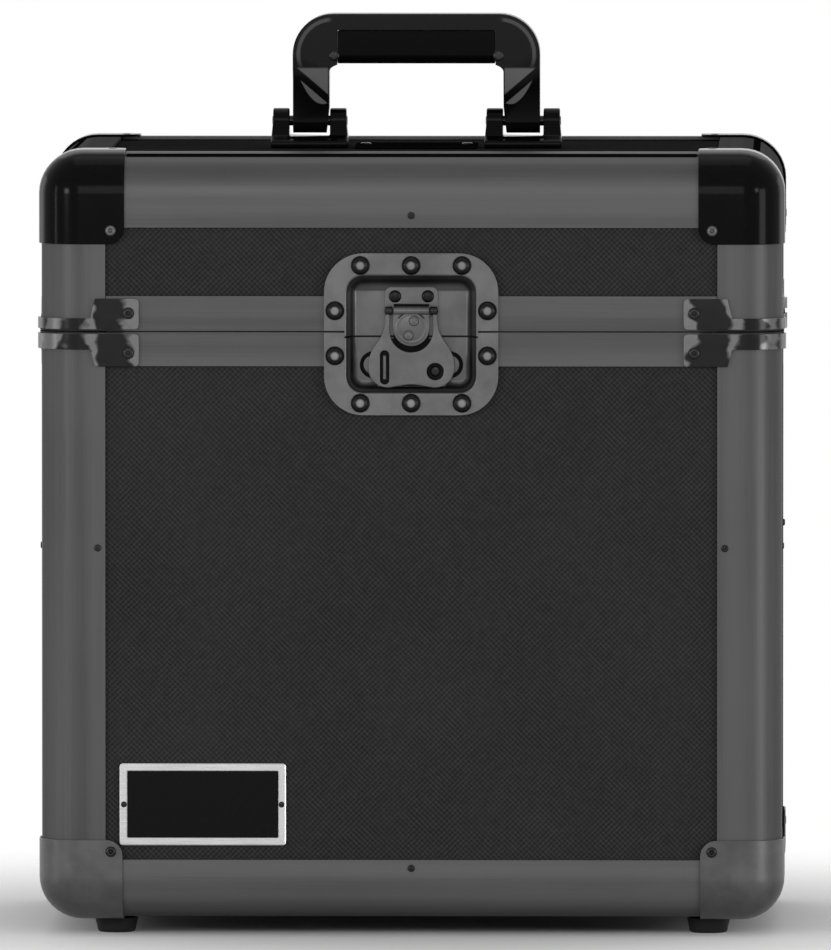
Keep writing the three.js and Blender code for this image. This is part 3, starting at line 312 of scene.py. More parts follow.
def moulded_rubber(name):
    """Matt black rubber with a fine grain and chalky scuffs."""
    finish = Finish(name, Specular_IOR_Level=0.3)
    grain = finish.noise(1500, detail=3.0)
    scuffs = finish.noise(120, (1, 1, 2.5), detail=5.0, roughness=0.7).within(0.55, 0.8)
    return finish.done(
        finish.mix(scuffs * 0.4 + grain * 0.2, 12, 46), 0.72 + (grain - 0.5) * 0.2, grain, 0.4, 0.12)


def brushed_silver(name):
    """Bright aluminium plate, brushed crosswise."""
    finish = Finish(name, Metallic=0.9)
    brush = finish.noise(2400, (0.02, 1, 1))
    wear_and_highlight = finish.noise(60, detail=4.0)
    return finish.done(
        finish.mix(brush * 0.6 + wear_and_highlight * 0.4, 164, 208), 0.3 + (brush - 0.5) * 0.25, brush, 0.2, 0.04)


def open_foam(name):
    """Dense charcoal foam with a napped surface and fine open cells."""
    finish = Finish(name, Specular_IOR_Level=0.15, Sheen_Weight=0.25, Sheen_Roughness=0.6)
    cells = finish.add("TexVoronoi", {}, {"Vector": finish.place, "Scale": 900.0})
    nap = finish.noise(300, detail=5.0, roughness=0.7)
    clouds = finish.noise(12, detail=3.0)
    return finish.done(
        finish.mix(nap * 0.6 + clouds * 0.4, 22, 44), 0.9 + (nap - 0.5) * 0.1, cells * 0.5 + nap * 0.5, 0.6, 0.4)


profile_upright = anodised("anodised_profile_upright", "z")
profile_across = anodised("anodised_profile_across", "x")
# The low front and back edges get a lighter grey than the other profiles of the same extrusion: painted light.
profile_low_painted_light = anodised("anodised_profile_low", "x", 89)
profile_ring = anodised("anodised_profile_ring", "xy")
# The side edges get a darker grey than the other profiles of the same extrusion: painted shade.
profile_deep_painted_dark = anodised("anodised_profile_deep", "y", 74, 0.04, 0.0)
laminate_front = laminate("laminate_front", "x", "z")
laminate_side = laminate("laminate_side", "y", "z")
laminate_level = laminate("laminate_level", "x", "y", 0.0)
gloss_black = glossy("gloss_black", 5, 0.14, 0.05)
handle_black = glossy("handle_black", 8, 0.2, 0.08)
# The handle frame carries painted highlights on its legs and upper corners.
frame_black = glossy("handle_frame_black", 8, 0.2, 0.08, painted_leg_highlights)
matt_black = glossy("matt_black", 12, 0.6, 0.0)
grip_black = glossy("grip_black", 6, 0.34, 0.03)
plate_black = glossy("plate_black", 10, 0.3)
charcoal_steel = enamelled_steel("charcoal_steel", 82, 0.38)
latch_steel = enamelled_steel("latch_steel", 90, 0.36)
# The dish's finish carries painted shade on its walls and a painted shadow under its upper lip.
dish_steel = enamelled_steel("dish_steel", 90, 0.36, shade=painted_dish_shade)
dark_steel = enamelled_steel("dark_steel", 26, 0.28, 0.2)
# The rivets' crowns carry a painted highlight in a light grey (142).
rivet_steel = glossy("rivet_black", 9, 0.3, 0.15, painted_crown_highlights, 142)
brace_reflection_steel = steel_with_painted_reflections("steel_with_painted_reflections")
rubber = moulded_rubber("rubber")
silver = brushed_silver("silver_plate")
foam = open_foam("foam")

profile_finishes = {
    profile_upright: ("post_", "lid_post_"),
    profile_across: ("lid_edge_front", "lid_edge_back"),
    profile_low_painted_light: ("edge_front", "edge_back"),
    profile_ring: ("body_rim", "lid_rim"),
    profile_deep_painted_dark: ("edge_left", "edge_right", "lid_edge_left", "lid_edge_right"),
}
node_finishes = {
    **profile_finishes,
    laminate_front: ("panel_front", "panel_back", "lid_panel_front", "lid_panel_back"),
    laminate_side: ("panel_left", "panel_right", "lid_panel_left", "lid_panel_right"),
    laminate_level: ("panel_bottom", "lid_panel_top"),
    charcoal_steel: ("corner_", "hinge_"),
    dish_steel: ("latch_dish_",),
    gloss_black: ("lid_corner_", "handle_bracket_", "lid_strip", "latch_hook"),
    latch_steel: ("latch_keeper", "latch_hub", "latch_wing"),
    handle_black: ("handle_frame", "handle_grip"),
    rubber: ("foot_",),
    silver: ("name_plate",),
    foam: ("body_lining", "lid_lining"),
}


def coat(piece, material):
    piece.data.materials.clear()
    piece.data.materials.append(material)


for material, starts in node_finishes.items():
    for node in nodes:
        if node.startswith(starts):
            coat(nodes[node], material)


# ---- bench tools

class Bench:
    """Edit mode on one piece, left again at the end. Faces, edges and corners are picked by place and direction."""

    def __init__(self, piece):
        self.piece = piece

    def __enter__(self):
        only(self.piece)
        bpy.ops.object.mode_set(mode="EDIT")
        return self

    def __exit__(self, *problem):
        bpy.ops.object.mode_set(mode="OBJECT")

    def pick(self, kind, test):
        bpy.ops.mesh.select_mode(type=kind)
        bpy.ops.mesh.select_all(action="DESELECT")
        mesh = bmesh.from_edit_mesh(self.piece.data)
        for item in {"FACE": mesh.faces, "EDGE": mesh.edges, "VERT": mesh.verts}[kind]:
            item.select_set(bool(test(item)))
        mesh.select_flush_mode()
        bmesh.update_edit_mesh(self.piece.data)

    def faces(self, test=lambda centre, normal: True):
        self.pick("FACE", lambda face: test(face.calc_center_median(), face.normal))

    def edges(self, test):
        self.pick("EDGE", lambda edge: test(edge.verts[0].co, edge.verts[1].co))

    def corners(self, test):
        self.pick("VERT", lambda corner: test(corner.co))

    def everything(self):
        bpy.ops.mesh.select_all(action="SELECT")

    def extrude(self, *shift):
        bpy.ops.mesh.extrude_region_move(TRANSFORM_OT_translate={"value": shift})

    def resize(self, factors, centre):
        bpy.ops.transform.resize(value=factors, center_override=centre)

    def move(self, *shift):
        bpy.ops.transform.translate(value=shift)

    def inset(self, inward, sunk):
        """Insets the picked faces and then moves them to the back, in mm."""
        bpy.ops.mesh.inset(thickness=inward * mm)
        self.move(0, sunk * mm, 0)

    def round(self, radius, segments, affect="EDGES"):
        bpy.ops.mesh.bevel(offset=radius, segments=segments, affect=affect)

    def slice(self, point, direction, drop=False, fill=False):
        self.everything()
        bpy.ops.mesh.bisect(plane_co=point, plane_no=direction, clear_outer=drop, use_fill=fill)

    def delete(self, test):
        self.faces(test)
        bpy.ops.mesh.delete(type="FACE")

    def close_holes(self):
        self.everything()
        bpy.ops.mesh.fill_holes(sides=16)

    def merge(self, distance):
        self.faces()
        bpy.ops.mesh.remove_doubles(threshold=distance * mm)

    def clear_slivers(self):
        self.everything()
        bpy.ops.mesh.dissolve_degenerate(threshold=0.002 * mm)

    def join_flats(self):
        """Makes flat faces whole, so that a cut gives the same mesh each run."""
        self.everything()
        bpy.ops.mesh.dissolve_limited(angle_limit=math.radians(0.5))

    def face_outwards(self):
        self.everything()
        bpy.ops.mesh.normals_make_consistent(inside=False)


def facing(x=0, y=0, z=0):
    """A test for the faces that look one way."""
    return lambda centre, normal: normal.dot((x, y, z)) > 0.9


def only(*pieces):
    bpy.ops.object.select_all(action="DESELECT")
    for piece in pieces:
        piece.select_set(True)
    bpy.context.view_layer.objects.active = pieces[0]


def named(name):
    piece = bpy.context.object
    piece.name = piece.data.name = name
    return piece


def settled(piece):
    """Writes the piece's place, turn and size into its mesh."""
    only(piece)
    bpy.ops.object.transform_apply(location=True, rotation=True, scale=True)
    return piece


def put(piece, point, turn):
    piece.rotation_mode = "QUATERNION"
    piece.rotation_quaternion, piece.location = turn, point
    return settled(piece)


def block(name, low, high):
    low, high = Vector(low), Vector(high)
    bpy.ops.mesh.primitive_cube_add(size=1, location=(low + high) / 2, scale=high - low)
    return settled(named(name))


def turned(name, profile, steps=28):
    """A turned piece on the origin along +Z, drawn out ring by ring from its (radius, height) profile in mm."""
    (radius, height), *rest = [(r * mm, h * mm) for r, h in profile]
    bpy.ops.mesh.primitive_circle_add(vertices=steps, radius=radius, fill_type="NGON", location=(0, 0, height))
    piece = settled(named(name))
    with Bench(piece) as bench:
        bench.faces()
        for next_radius, next_height in rest:
            bench.extrude(0, 0, next_height - height)
            bench.resize((next_radius / radius, next_radius / radius, 1), (0, 0, next_height))
            radius, height = next_radius, next_height
        bench.face_outwards()
    return piece


def turned_to(piece, point, outward, spin=0.0):
    """Stands a piece made on the origin along +Z on a point, along the outward direction."""
    turn = Vector(upward).rotation_difference(Vector(outward))
    return put(piece, point, turn @ Matrix.Rotation(spin, 4, "Z").to_quaternion())


def twin_of(piece, name):
    only(piece)
    bpy.ops.object.duplicate(linked=False)
    return named(name)


def scrap(*pieces):
    for piece in pieces:
        bpy.data.objects.remove(piece)


def modified(piece, kind, **settings):
    """Adds one modifier and applies it."""
    only(piece)
    step = piece.modifiers.new(kind.lower(), kind)
    for setting, value in settings.items():
        setattr(step, setting, value)
    bpy.ops.object.modifier_apply(modifier=step.name)
    return piece


def cut(piece, tool, operation="DIFFERENCE"):
    """Cuts a tool out of a piece, or adds it, and throws the tool away."""
    modified(piece, "BOOLEAN", operation=operation, object=tool, solver="EXACT")
    scrap(tool)


def thickened(piece, thickness):
    return modified(piece, "SOLIDIFY", thickness=thickness * mm, offset=-1)


def soft_edges(piece, width, segments=2, angle=50):
    """Breaks the sharp edges and clears the faces that shrink to nothing by it."""
    modified(
        piece, "BEVEL", width=width * mm, segments=segments, limit_method="ANGLE", angle_limit=math.radians(angle))
    with Bench(piece) as bench:
        bench.clear_slivers()
    return piece


def finished(piece, material, body, slot, *replaced, angle=40):
    """Smooths and paints a piece and hangs it on its body."""
    only(piece)
    bpy.ops.object.shade_smooth_by_angle(angle=math.radians(angle))
    modified(piece, "WEIGHTED_NORMAL", keep_sharp=True, weight=60)
    coat(piece, material)
    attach(piece, body)
    if replaced:
        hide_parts(*replaced)
    return piece


def fitted(pattern, name, places, body, material=None, slot="steel", angle=45):
    """Copies of a small part on several (point, outward) places, joined into one finished piece."""
    copies = [turned_to(twin_of(pattern, name), point, outward, 0.7 * i) for i, (point, outward) in enumerate(places)]
    only(*copies)
    if len(copies) > 1:
        bpy.ops.object.join()
    return finished(named(name), material or dark_steel, body, slot, angle=angle)


def both_faces(side_x, side_y, inset, level, proud=0.0, side_proud=0.0):
    """Places on the two faces beside an upright edge of the case, equally far from the edge."""
    (x, to_x), (y, to_y) = sides[side_x], sides[side_y]
    return [((x + to_x * inset, y - to_y * proud, level), (0, -to_y, 0)),
            ((x - to_x * side_proud, y + to_y * inset, level), (-to_x, 0, 0))]


def cleaned_copy(node, name):
    """A copy of a CAD node's mesh as one closed skin with its flat faces whole."""
    piece = twin_of(nodes[node], name)
    bpy.ops.object.parent_clear(type="CLEAR_KEEP_TRANSFORM")
    for key in list(piece.keys()):
        del piece[key]
    if piece.data.has_custom_normals:
        bpy.ops.mesh.customdata_custom_splitnormals_clear()
    with Bench(piece) as bench:
        bench.merge(0.002)
        bench.join_flats()
    return piece


# ---- rivets and screws

blind_rivet = turned("blind_rivet_pattern", [
    (2.5, -0.4), (2.62, 0.1), (2.6, 0.3), (2.45, 0.7), (2.1, 1.08), (1.6, 1.3), (1.25, 1.3), (1.02, 1.12),
    (0.95, 0.75), (0.9, 0.45), (0.75, 0.45), (0.6, 0.62), (0.25, 0.72)])
small_blind_rivet = turned("small_blind_rivet_pattern", [
    (1.6, -0.4), (1.75, 0.1), (1.68, 0.5), (1.3, 0.85), (0.85, 0.92), (0.62, 0.75), (0.58, 0.4), (0.4, 0.42),
    (0.15, 0.5)], 24)
dome_rivet = turned("dome_rivet_pattern", [
    (4.2, -0.6), (4.6, -0.1), (4.66, 0.2), (4.5, 0.85), (4.15, 1.55), (3.6, 2.2), (2.9, 2.72), (2.0, 3.06),
    (1.0, 3.2), (0.3, 3.23)], 36)
pan_rivet = turned("pan_rivet_pattern", [
    (2.8, -0.4), (3.05, 0.05), (3.0, 0.35), (2.7, 0.8), (2.1, 1.08), (1.2, 1.2), (0.3, 1.22)])
brace_rivet = turned("brace_rivet_pattern", [
    (2.8, -0.4), (2.95, 0.1), (2.9, 0.4), (2.65, 0.85), (2.2, 1.2), (1.6, 1.36), (1.15, 1.3), (0.98, 1.0),
    (0.92, 0.6), (0.7, 0.6), (0.5, 0.8), (0.2, 0.86)])
pin_rivet = turned("pin_rivet_pattern", [
    (1.35, -0.3), (1.5, 0.1), (1.4, 0.4), (1.05, 0.62), (0.5, 0.7), (0.15, 0.71)], 20)
set_rivet = turned("set_rivet_pattern", [
    (2.2, -0.4), (2.3, 0.2), (2.15, 0.5), (1.85, 0.62), (1.55, 0.55), (1.4, 0.4), (1.2, 0.4), (0.3, 0.5)])
wing_knuckle = turned("knuckle_pattern", [(1.6, 0), (2.1, 0.3), (2.1, 3.3), (1.6, 3.6)], 24)
screw_head = turned("cross_screw_pattern", [
    (2.5, -0.5), (2.66, 0.1), (2.6, 0.35), (2.3, 0.66), (1.7, 0.8), (0.3, 0.84)], 32)
cross_recess = block("cross_recess", (-0.3 * mm, -0.3 * mm, 0.3 * mm), (0.3 * mm, 0.3 * mm, 2 * mm))
with Bench(cross_recess) as bench:
    for x, y in ((1, 0), (-1, 0), (0, 1), (0, -1)):
        bench.faces(lambda centre, normal: normal.dot((x, y, 0)) > 0.9 and centre.xy.length < 0.4 * mm)
        bench.extrude(x * 1.4 * mm, y * 1.4 * mm, 0)
cut(screw_head, cross_recess)
with Bench(screw_head) as bench:
    bench.clear_slivers()
small_parts = [
    blind_rivet, small_blind_rivet, dome_rivet, pan_rivet, brace_rivet, pin_rivet, set_rivet, wing_knuckle,
    screw_head]


# ---- corner caps

def corner_cap(name, reach, tall):
    """Pressed cap for one corner. The case's corner is the origin, and the case lies towards +X, +Y and -Z."""
    past, tip = 20 * mm, Vector((-cap_proud, -cap_proud, cap_proud))
    cap = block(name, (tip.x, tip.y, -tall - past), (reach + past, reach + past, tip.z))
    with Bench(cap) as bench:
        bench.delete(lambda centre, normal: max(normal.x, normal.y, -normal.z) > 0.9)
        bench.edges(lambda a, b: min((a - tip).length, (b - tip).length) < near)
        bench.round(21.3 * mm, 10)
        for point, direction in (((reach, 0, 0), sideways), ((0, reach, 0), rearward), ((0, 0, -tall), downward)):
            bench.slice(point, direction, drop=True)
        bench.corners(lambda p: (abs(p.x - reach) < near) + (abs(p.y - reach) < near) + (abs(p.z + tall) < near) == 2)
        bench.round(8 * mm, 7, affect="VERTICES")
    return soft_edges(thickened(cap, 1.0), 0.35, 3)


def on_corner(cap, side_x, side_y, level):
    """Turns a cap from the front left top corner to another corner of the case."""
    turns = {("left", "front"): 0, ("right", "front"): 90, ("right", "back"): 180, ("left", "back"): -90}
    turn = Matrix.Rotation(math.radians(turns[side_x, side_y]), 4, "Z")
    if level == underside:
        turn = turn @ Matrix.Rotation(math.pi, 4, (1, 1, 0))
    return put(cap, (sides[side_x][0], sides[side_y][0], level), turn.to_quaternion())


def cap_rivet_places(side_x, side_y, level, down):
    flush, rivet_level = 0.3 * mm, level - down if level == top else level + down
    places = both_faces(
        side_x, side_y, cap_rivet_inset, rivet_level, cap_proud if side_y == "front" else flush, flush)
    if level == top:
        (x, to_x), (y, to_y) = sides[side_x], sides[side_y]
        places.append(((x + to_x * cap_rivet_inset, y + to_y * cap_rivet_inset, level + flush), upward))
    return places


def corner_caps():
    for level, body, start, reach, tall, material, slot, rivet_finish in (
            (top, "lid", "lid_corner", 41 * mm, 44.4 * mm, gloss_black, "gloss", latch_steel),
            (underside, "case_body", "corner", 40 * mm, 38.5 * mm, charcoal_steel, "aluminium", dark_steel)):
        pattern = corner_cap(f"{start}_pattern", reach, tall)
        places = []
        for side_x, side_y in case_corners:
            node = f"{start}_{side_y}_{side_x}"
            cap = on_corner(twin_of(pattern, f"{node}_cap"), side_x, side_y, level)
            finished(cap, material, body, slot, node)
            places += cap_rivet_places(side_x, side_y, level, tall - reach + cap_rivet_inset)
        fitted(blind_rivet, f"{start}_rivets", places, body, rivet_finish, angle=50)
        scrap(pattern)


corner_caps()


# ---- handle

grip_low, grip_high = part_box("handle_grip")
frame_low, frame_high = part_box("handle_frame")
pin_level = frame_low.z + 6 * mm


def handle_arch():
    """The carrying frame: a beam with two legs drawn down to the pins and thinned on the slant."""
    half, leg, depth = frame_high.x, 18 * mm, 11 * mm
    beam, inner = grip_low.z, half - leg
    knee, ankle = pin_level + 22 * mm, pin_level + 12 * mm
    arch = block("handle_arch", (-half, middle_y - depth, beam), (half, middle_y + depth, frame_high.z))
    with Bench(arch) as bench:
        for x in (-inner, inner):
            bench.slice((x, 0, 0), sideways)
        bench.faces(lambda centre, normal: normal.z < -0.9 and abs(centre.x) > inner)
        height, deep = beam, depth
        for level, next_deep in ((knee, depth), (ankle, 6.2 * mm), (frame_low.z, 6 * mm)):
            bench.extrude(0, 0, level - height)
            bench.resize((1, next_deep / deep, 1), (0, middle_y, level))
            height, deep = level, next_deep
        for level, outer_lift, inner_lift in ((knee, 4.7 * mm, 2.4 * mm), (ankle, 8.5 * mm, -5 * mm)):
            bench.corners(lambda p: abs(p.z - level) < near and abs(p.x) > half - near)
            bench.move(0, 0, outer_lift)
            bench.corners(lambda p: abs(p.z - level) < near and abs(p.x) < inner + near)
            bench.move(0, 0, inner_lift)
        for sign in (-1, 1):
            bench.corners(lambda p: p.z < frame_low.z + near and 0 < p.x * sign < inner + near)
            bench.move(sign * 1.4 * mm, 0, 0)
        bench.join_flats()
        bench.edges(lambda a, b: max(a.z, b.z) < frame_low.z + near and abs(a.x - b.x) > leg / 2)
        bench.round(5.6 * mm, 7)
        bench.edges(lambda a, b: (
            min(a.z, b.z) > frame_high.z - near and min(abs(a.x), abs(b.x)) > half - near and abs(a.x - b.x) < near))
        bench.round(20 * mm, 12)
        bench.edges(lambda a, b: (
            max(abs(a.z - beam), abs(b.z - beam), abs(a.x - b.x)) < near and abs(a.x) < inner + near))
        bench.round(8.5 * mm, 8)
        bench.face_outwards()
    for sign in (-1, 1):
        bore = turned("bore", [(2.85, -12), (2.85, 12)], 24)
        cut(arch, turned_to(bore, (sign * 52.7 * mm, middle_y, pin_level), sideways))
    gap = 0.3 * mm
    cut(arch, block("room", (grip_low.x - gap, -1, grip_low.z - 5 * mm), (grip_high.x + gap, 1, grip_high.z + gap)))
    soft_edges(arch, 2.2, 4, 34)
    finished(arch, frame_black, "handle", "gloss", "handle_frame")


def handle_grip():
    """The grip insert under the beam, rounded along its lower edges."""
    grip = block("grip_insert", grip_low, grip_high)
    with Bench(grip) as bench:
        for share in (0.25, 0.5, 0.75):
            bench.slice(grip_low.lerp(grip_high, share), sideways)
        bench.edges(lambda a, b: (
            abs(a.x - b.x) > near and max(a.z, b.z) < grip_low.z + near and abs(a.y - b.y) < near))
        bench.round(4.5 * mm, 6)
    soft_edges(grip, 0.5, 3, 34)
    finished(grip, grip_black, "handle", "gloss", "handle_grip")


def handle_bracket(side):
    """A cast bracket: a low foot, a web and two tapered ears with round tops, and the pin through them."""
    low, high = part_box(f"handle_bracket_{side}")
    across, z = (low.x + high.x) / 2, low.z
    foot, web, ear = 15 * mm, 9.5 * mm, 6.2 * mm
    bracket = block(f"bracket_{side}", (low.x, middle_y - foot, z), (high.x, middle_y + foot, z + 3.2 * mm))
    with Bench(bracket) as bench:
        bench.faces(facing(z=1))
        bench.extrude(0, 0, 2.7 * mm)
        bench.resize((0.99, web / foot, 1), (across, middle_y, z + 5.9 * mm))
        for x in (-10 * mm, 10 * mm):
            bench.slice((across + x, 0, 0), sideways)
        bench.faces(lambda centre, normal: (
            normal.z > 0.9 and centre.z > z + 5 * mm and abs(centre.x - across) > 10 * mm))
        bench.extrude(0, 0, 7.2 * mm)
        bench.resize((1, ear / web, 1), (across, middle_y, z + 13.1 * mm))
        bench.extrude(0, 0, high.z - z - 13.1 * mm)
        bench.corners(lambda p: p.z > z + 13 * mm and abs(p.x - across) > 15 * mm)
        bench.resize((0.965, 1, 1), (across, middle_y, z))
        bench.edges(lambda a, b: min(a.z, b.z) > high.z - near and abs(a.y - b.y) < near)
        bench.round(5.9 * mm, 8)
        bench.face_outwards()
    soft_edges(bracket, 0.8, 3, 34)
    finished(bracket, gloss_black, "lid", "gloss", f"handle_bracket_{side}")
    pin = turned(f"handle_pin_{side}", [
        (1.6, -18.6), (2.3, -18.4), (2.6, -17.9), (2.5, -17.6), (2.5, 17.6), (2.6, 17.9), (2.3, 18.4), (1.6, 18.6)])
    finished(turned_to(pin, (across, middle_y, pin_level), sideways), dark_steel, "lid", "gloss")


handle_arch()
handle_grip()
handle_bracket("left")
handle_bracket("right")
fitted(screw_head, "grip_screws", [
    ((x * mm, middle_y - 11 * mm, frame_high.z - 20.7 * mm), forward) for x in (-40.5, 40.5)], "handle", slot="gloss")


# ---- feet and plates

def rubber_feet():
    foot = turned("foot_pattern", [
        (0.4, 2.5), (3.9, 2.5), (4.3, 2.2), (4.4, 0.5), (4.9, 0.05), (7.9, 0), (8.8, 0.35), (9.35, 1.2), (9.55, 2.4),
        (10.5, 6.7), (10.6, 7.1), (5, 7.1)], 40)
    for node in ("foot_front_left", "foot_front_right", "foot_back_left", "foot_back_right"):
        low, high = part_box(node)
        x, y, _ = (low + high) / 2
        piece = turned_to(twin_of(foot, f"{node}_rubber"), (x, y, low.z), upward)
        finished(piece, rubber, "case_body", "rubber", node)
        fitted(screw_head, f"{node}_screw", [((x, y, low.z + 2.5 * mm), downward)], "case_body")
    scrap(foot)


def name_plate():
    """A bare plate: a raised silver rim round a sunk black field."""
    low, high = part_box("name_plate")
    face, rim = low.y + 0.6 * mm, 3.7 * mm
    plate = block("plate_rim", (low.x, face, low.z), high)
    with Bench(plate) as bench:
        bench.faces(facing(y=-1))
        for inward, sunk in ((0.45, -0.25), (2.9, 0), (0.5, 0.5)):
            bench.inset(inward, sunk)
        outer = lambda p: min(p.x - low.x, high.x - p.x) < near
        bench.edges(lambda a, b: abs(a.y - b.y) > 1 * mm and outer(a) and outer(b))
        bench.round(1.6 * mm, 6)
        bench.face_outwards()
    finished(plate, silver, "case_body", "silver", "name_plate", angle=24)
    field = block(
        "plate_field", (low.x + rim, face + 0.08 * mm, low.z + rim), (high.x - rim, face + 0.6 * mm, high.z - rim))
    with Bench(field) as bench:
        bench.edges(lambda a, b: abs(a.y - b.y) > 0.1 * mm)
        bench.round(0.8 * mm, 4)
        bench.faces(facing(y=-1))
        bench.inset(0.3, -0.05)
    finished(field, plate_black, "case_body", "silver", angle=24)
    fitted(pin_rivet, "plate_rivets", [
        ((x, face - 0.2 * mm, (low.z + high.z) / 2), forward) for x in (low.x + 2.1 * mm, high.x - 2.1 * mm)],
        "case_body", slot="silver")


def lid_plate():
    low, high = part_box("lid_strip")
    level = low.z + 1.5 * mm
    plate = block("lid_plate", low, (high.x, high.y, level))
    with Bench(plate) as bench:
        bench.edges(lambda a, b: abs(a.z - b.z) > 1 * mm)
        bench.round(3 * mm, 6)
    soft_edges(plate, 0.35, angle=32)
    finished(plate, matt_black, "lid", "aluminium", "lid_strip", angle=32)
    fitted(screw_head, "lid_plate_screws", [
        ((x, (low.y + high.y) / 2, level), upward) for x in (low.x + 5 * mm, high.x - 5 * mm)],
        "lid", slot="aluminium")


rubber_feet()
name_plate()
lid_plate()


# ---- latch

flange_face = front - 1.5 * mm
dish_floor = flange_face + 10 * mm
pin_depth = front + 1.7 * mm
pin_up = 10.2
slot_hole, screw_hole, hub_up = (-13, -17.5), (11.7, -19.5), 1.7


def arc(centre, radius, start, end, steps):
    """Points along an arc in the X and Z plane, in mm, its angles in degrees."""
    turns = [math.radians(start + (end - start) * i / steps) for i in range(steps + 1)]
    return [(centre[0] + radius * math.cos(t), centre[1] + radius * math.sin(t)) for t in turns]


def sweep(p0, p1, p2, p3, steps=14):
    """Points along a Bezier curve, in mm, without its first one."""
    points = []
    for i in range(1, steps + 1):
        t = i / steps
        weights = ((1 - t) ** 3, 3 * t * (1 - t) ** 2, 3 * t * t * (1 - t), t ** 3)
        points.append(tuple(sum(w * p[k] for w, p in zip(weights, (p0, p1, p2, p3))) for k in (0, 1)))
    return points


def slot_outline(wide, tall):
    radius, reach, (x, z) = wide / 2, (tall - wide) / 2, slot_hole
    return arc((x, z + reach), radius, 0, 180, 16) + arc((x, z - reach), radius, 180, 360, 16)


def stamped(name, outlines, depth, sheet, rim):
    """A flat stamping with a soft rim, facing the front. Outlines are in mm from the split, holes after the rim."""
    drawing = bpy.data.curves.new(name, "CURVE")
    drawing.dimensions, drawing.fill_mode = "2D", "BOTH"
    for outline in outlines:
        spline = drawing.splines.new("POLY")
        spline.points.add(len(outline) - 1)
        for point, (x, z) in zip(spline.points, outline):
            point.co = (x * mm, z * mm, 0, 1)
        spline.use_cyclic_u = True
    drawing.extrude = sheet * mm / 2 - rim * mm
    drawing.bevel_depth, drawing.bevel_resolution, drawing.offset = rim * mm, 2, -rim * mm
    piece = bpy.data.objects.new(name, drawing)
    bpy.context.scene.collection.objects.link(piece)
    only(piece)
    bpy.ops.object.convert(target="MESH")
    piece = named(name)
    piece.rotation_euler, piece.location = (math.pi / 2, 0, 0), (0, depth, split)
    settled(piece)
    with Bench(piece) as bench:
        bench.merge(0.004)
        bench.face_outwards()
    return piece


def dish_half(node, upper):
    """Half of the pressed dish: a flat flange with round corners, a rolled mouth, drafted walls and a floor."""
    half, low, high, mouth = 42.5 * mm, split - 40.7 * mm, split + 38.3 * mm, 32.6 * mm
    bpy.ops.mesh.primitive_plane_add(
        size=1, location=(0, flange_face, (low + high) / 2), rotation=(math.pi / 2, 0, 0))
    dish = named(f"{node}_pressing")
    dish.scale = (2 * half, high - low, 1)
    settled(dish)

    def other_half(centre, normal):
        level = centre.z - split + (2.6 * mm if abs(centre.x) < mouth else 0)
        return level < 0.44 * mm if upper else level > -0.44 * mm

    with Bench(dish) as bench:
        bench.corners(lambda p: True)
        bench.round(19 * mm, 12, affect="VERTICES")
        bench.faces()
        for inward, sunk in (
                (9.9, 0), (0.42, 0.06), (0.36, 0.22), (0.28, 0.4), (0.14, 0.5), (3.0, 6.9), (0.16, 0.5),
                (0.36, 0.62), (0.56, 0.5), (0.7, 0.25), (0.6, 0.05)):
            bench.inset(inward, sunk)
        for level in (-3.05, -2.15, -0.45, 0.45):
            bench.slice((0, 0, split + level * mm), upward)
        bench.delete(other_half)
    return soft_edges(thickened(dish, 1.2), 0.3, 2, 60)


def latch_base():
    """The guide under the wing: a round disc on a plate with round ends. A larger black sheet rims the plate as a
    painted shadow, like a dark groove, and black sheets behind the wing's holes are painted shade.
    """
    disc = turned("latch_base_disc", [
        (19.4, -0.5), (19.5, 1.9), (19.3, 2.35), (18.8, 2.62), (18.2, 2.7), (14, 2.7), (13.6, 2.5), (13.1, 2.5),
        (12.7, 2.7), (2, 2.7)], 72)
    turned_to(disc, (0, dish_floor, split - 16.8 * mm), forward)
    with Bench(disc) as bench:
        bench.slice((0, 0, split - 3.4 * mm), upward, drop=True, fill=True)
        bench.slice((0, 0, split - 26.9 * mm), downward, drop=True, fill=True)
        bench.face_outwards()
    finished(disc, latch_steel, "case_body", "steel", angle=35)
    # A larger black sheet behind the guide plate rims it like a dark groove: painted shadow.
    for name, reach, half, sunk, sheet, material in (
            ("latch_guide_painted_shadow", 25.2, 6.6, 0.5, 1.6, gloss_black),
            ("latch_guide_plate", 23.4, 4.6, 1.0, 2.2, latch_steel)):
        outline = arc((reach - half, -16.4), half, -90, 90, 20) + arc((half - reach, -16.4), half, 90, 270, 20)
        plate = stamped(name, [outline], dish_floor - sunk * mm, sheet, 0.3)
        finished(plate, material, "case_body", "steel", angle=35)
    x, z = screw_hole
    lock = twin_of(screw_head, "latch_guide_screw")
    turned_to(lock, (x * mm, dish_floor - 2.6 * mm, split + z * mm), forward, 0.5)
    finished(lock, dark_steel, "case_body", "steel", angle=45)
    # Black sheets behind the wing's round hole, its slot and the hollow under the hub: painted shade.
    for name, outline in (
            ("round", arc(screw_hole, 5.6, 0, 350, 35)), ("slot", slot_outline(7, 19)),
            ("hub", arc((0, 0.6), 11.6, 201, 339, 40))):
        shade_sheet = stamped(f"latch_guide_shade_sheet_{name}", [outline], dish_floor - 2.7 * mm, 0.3, 0.05)
        finished(shade_sheet, plate_black, "case_body", "steel", angle=45)


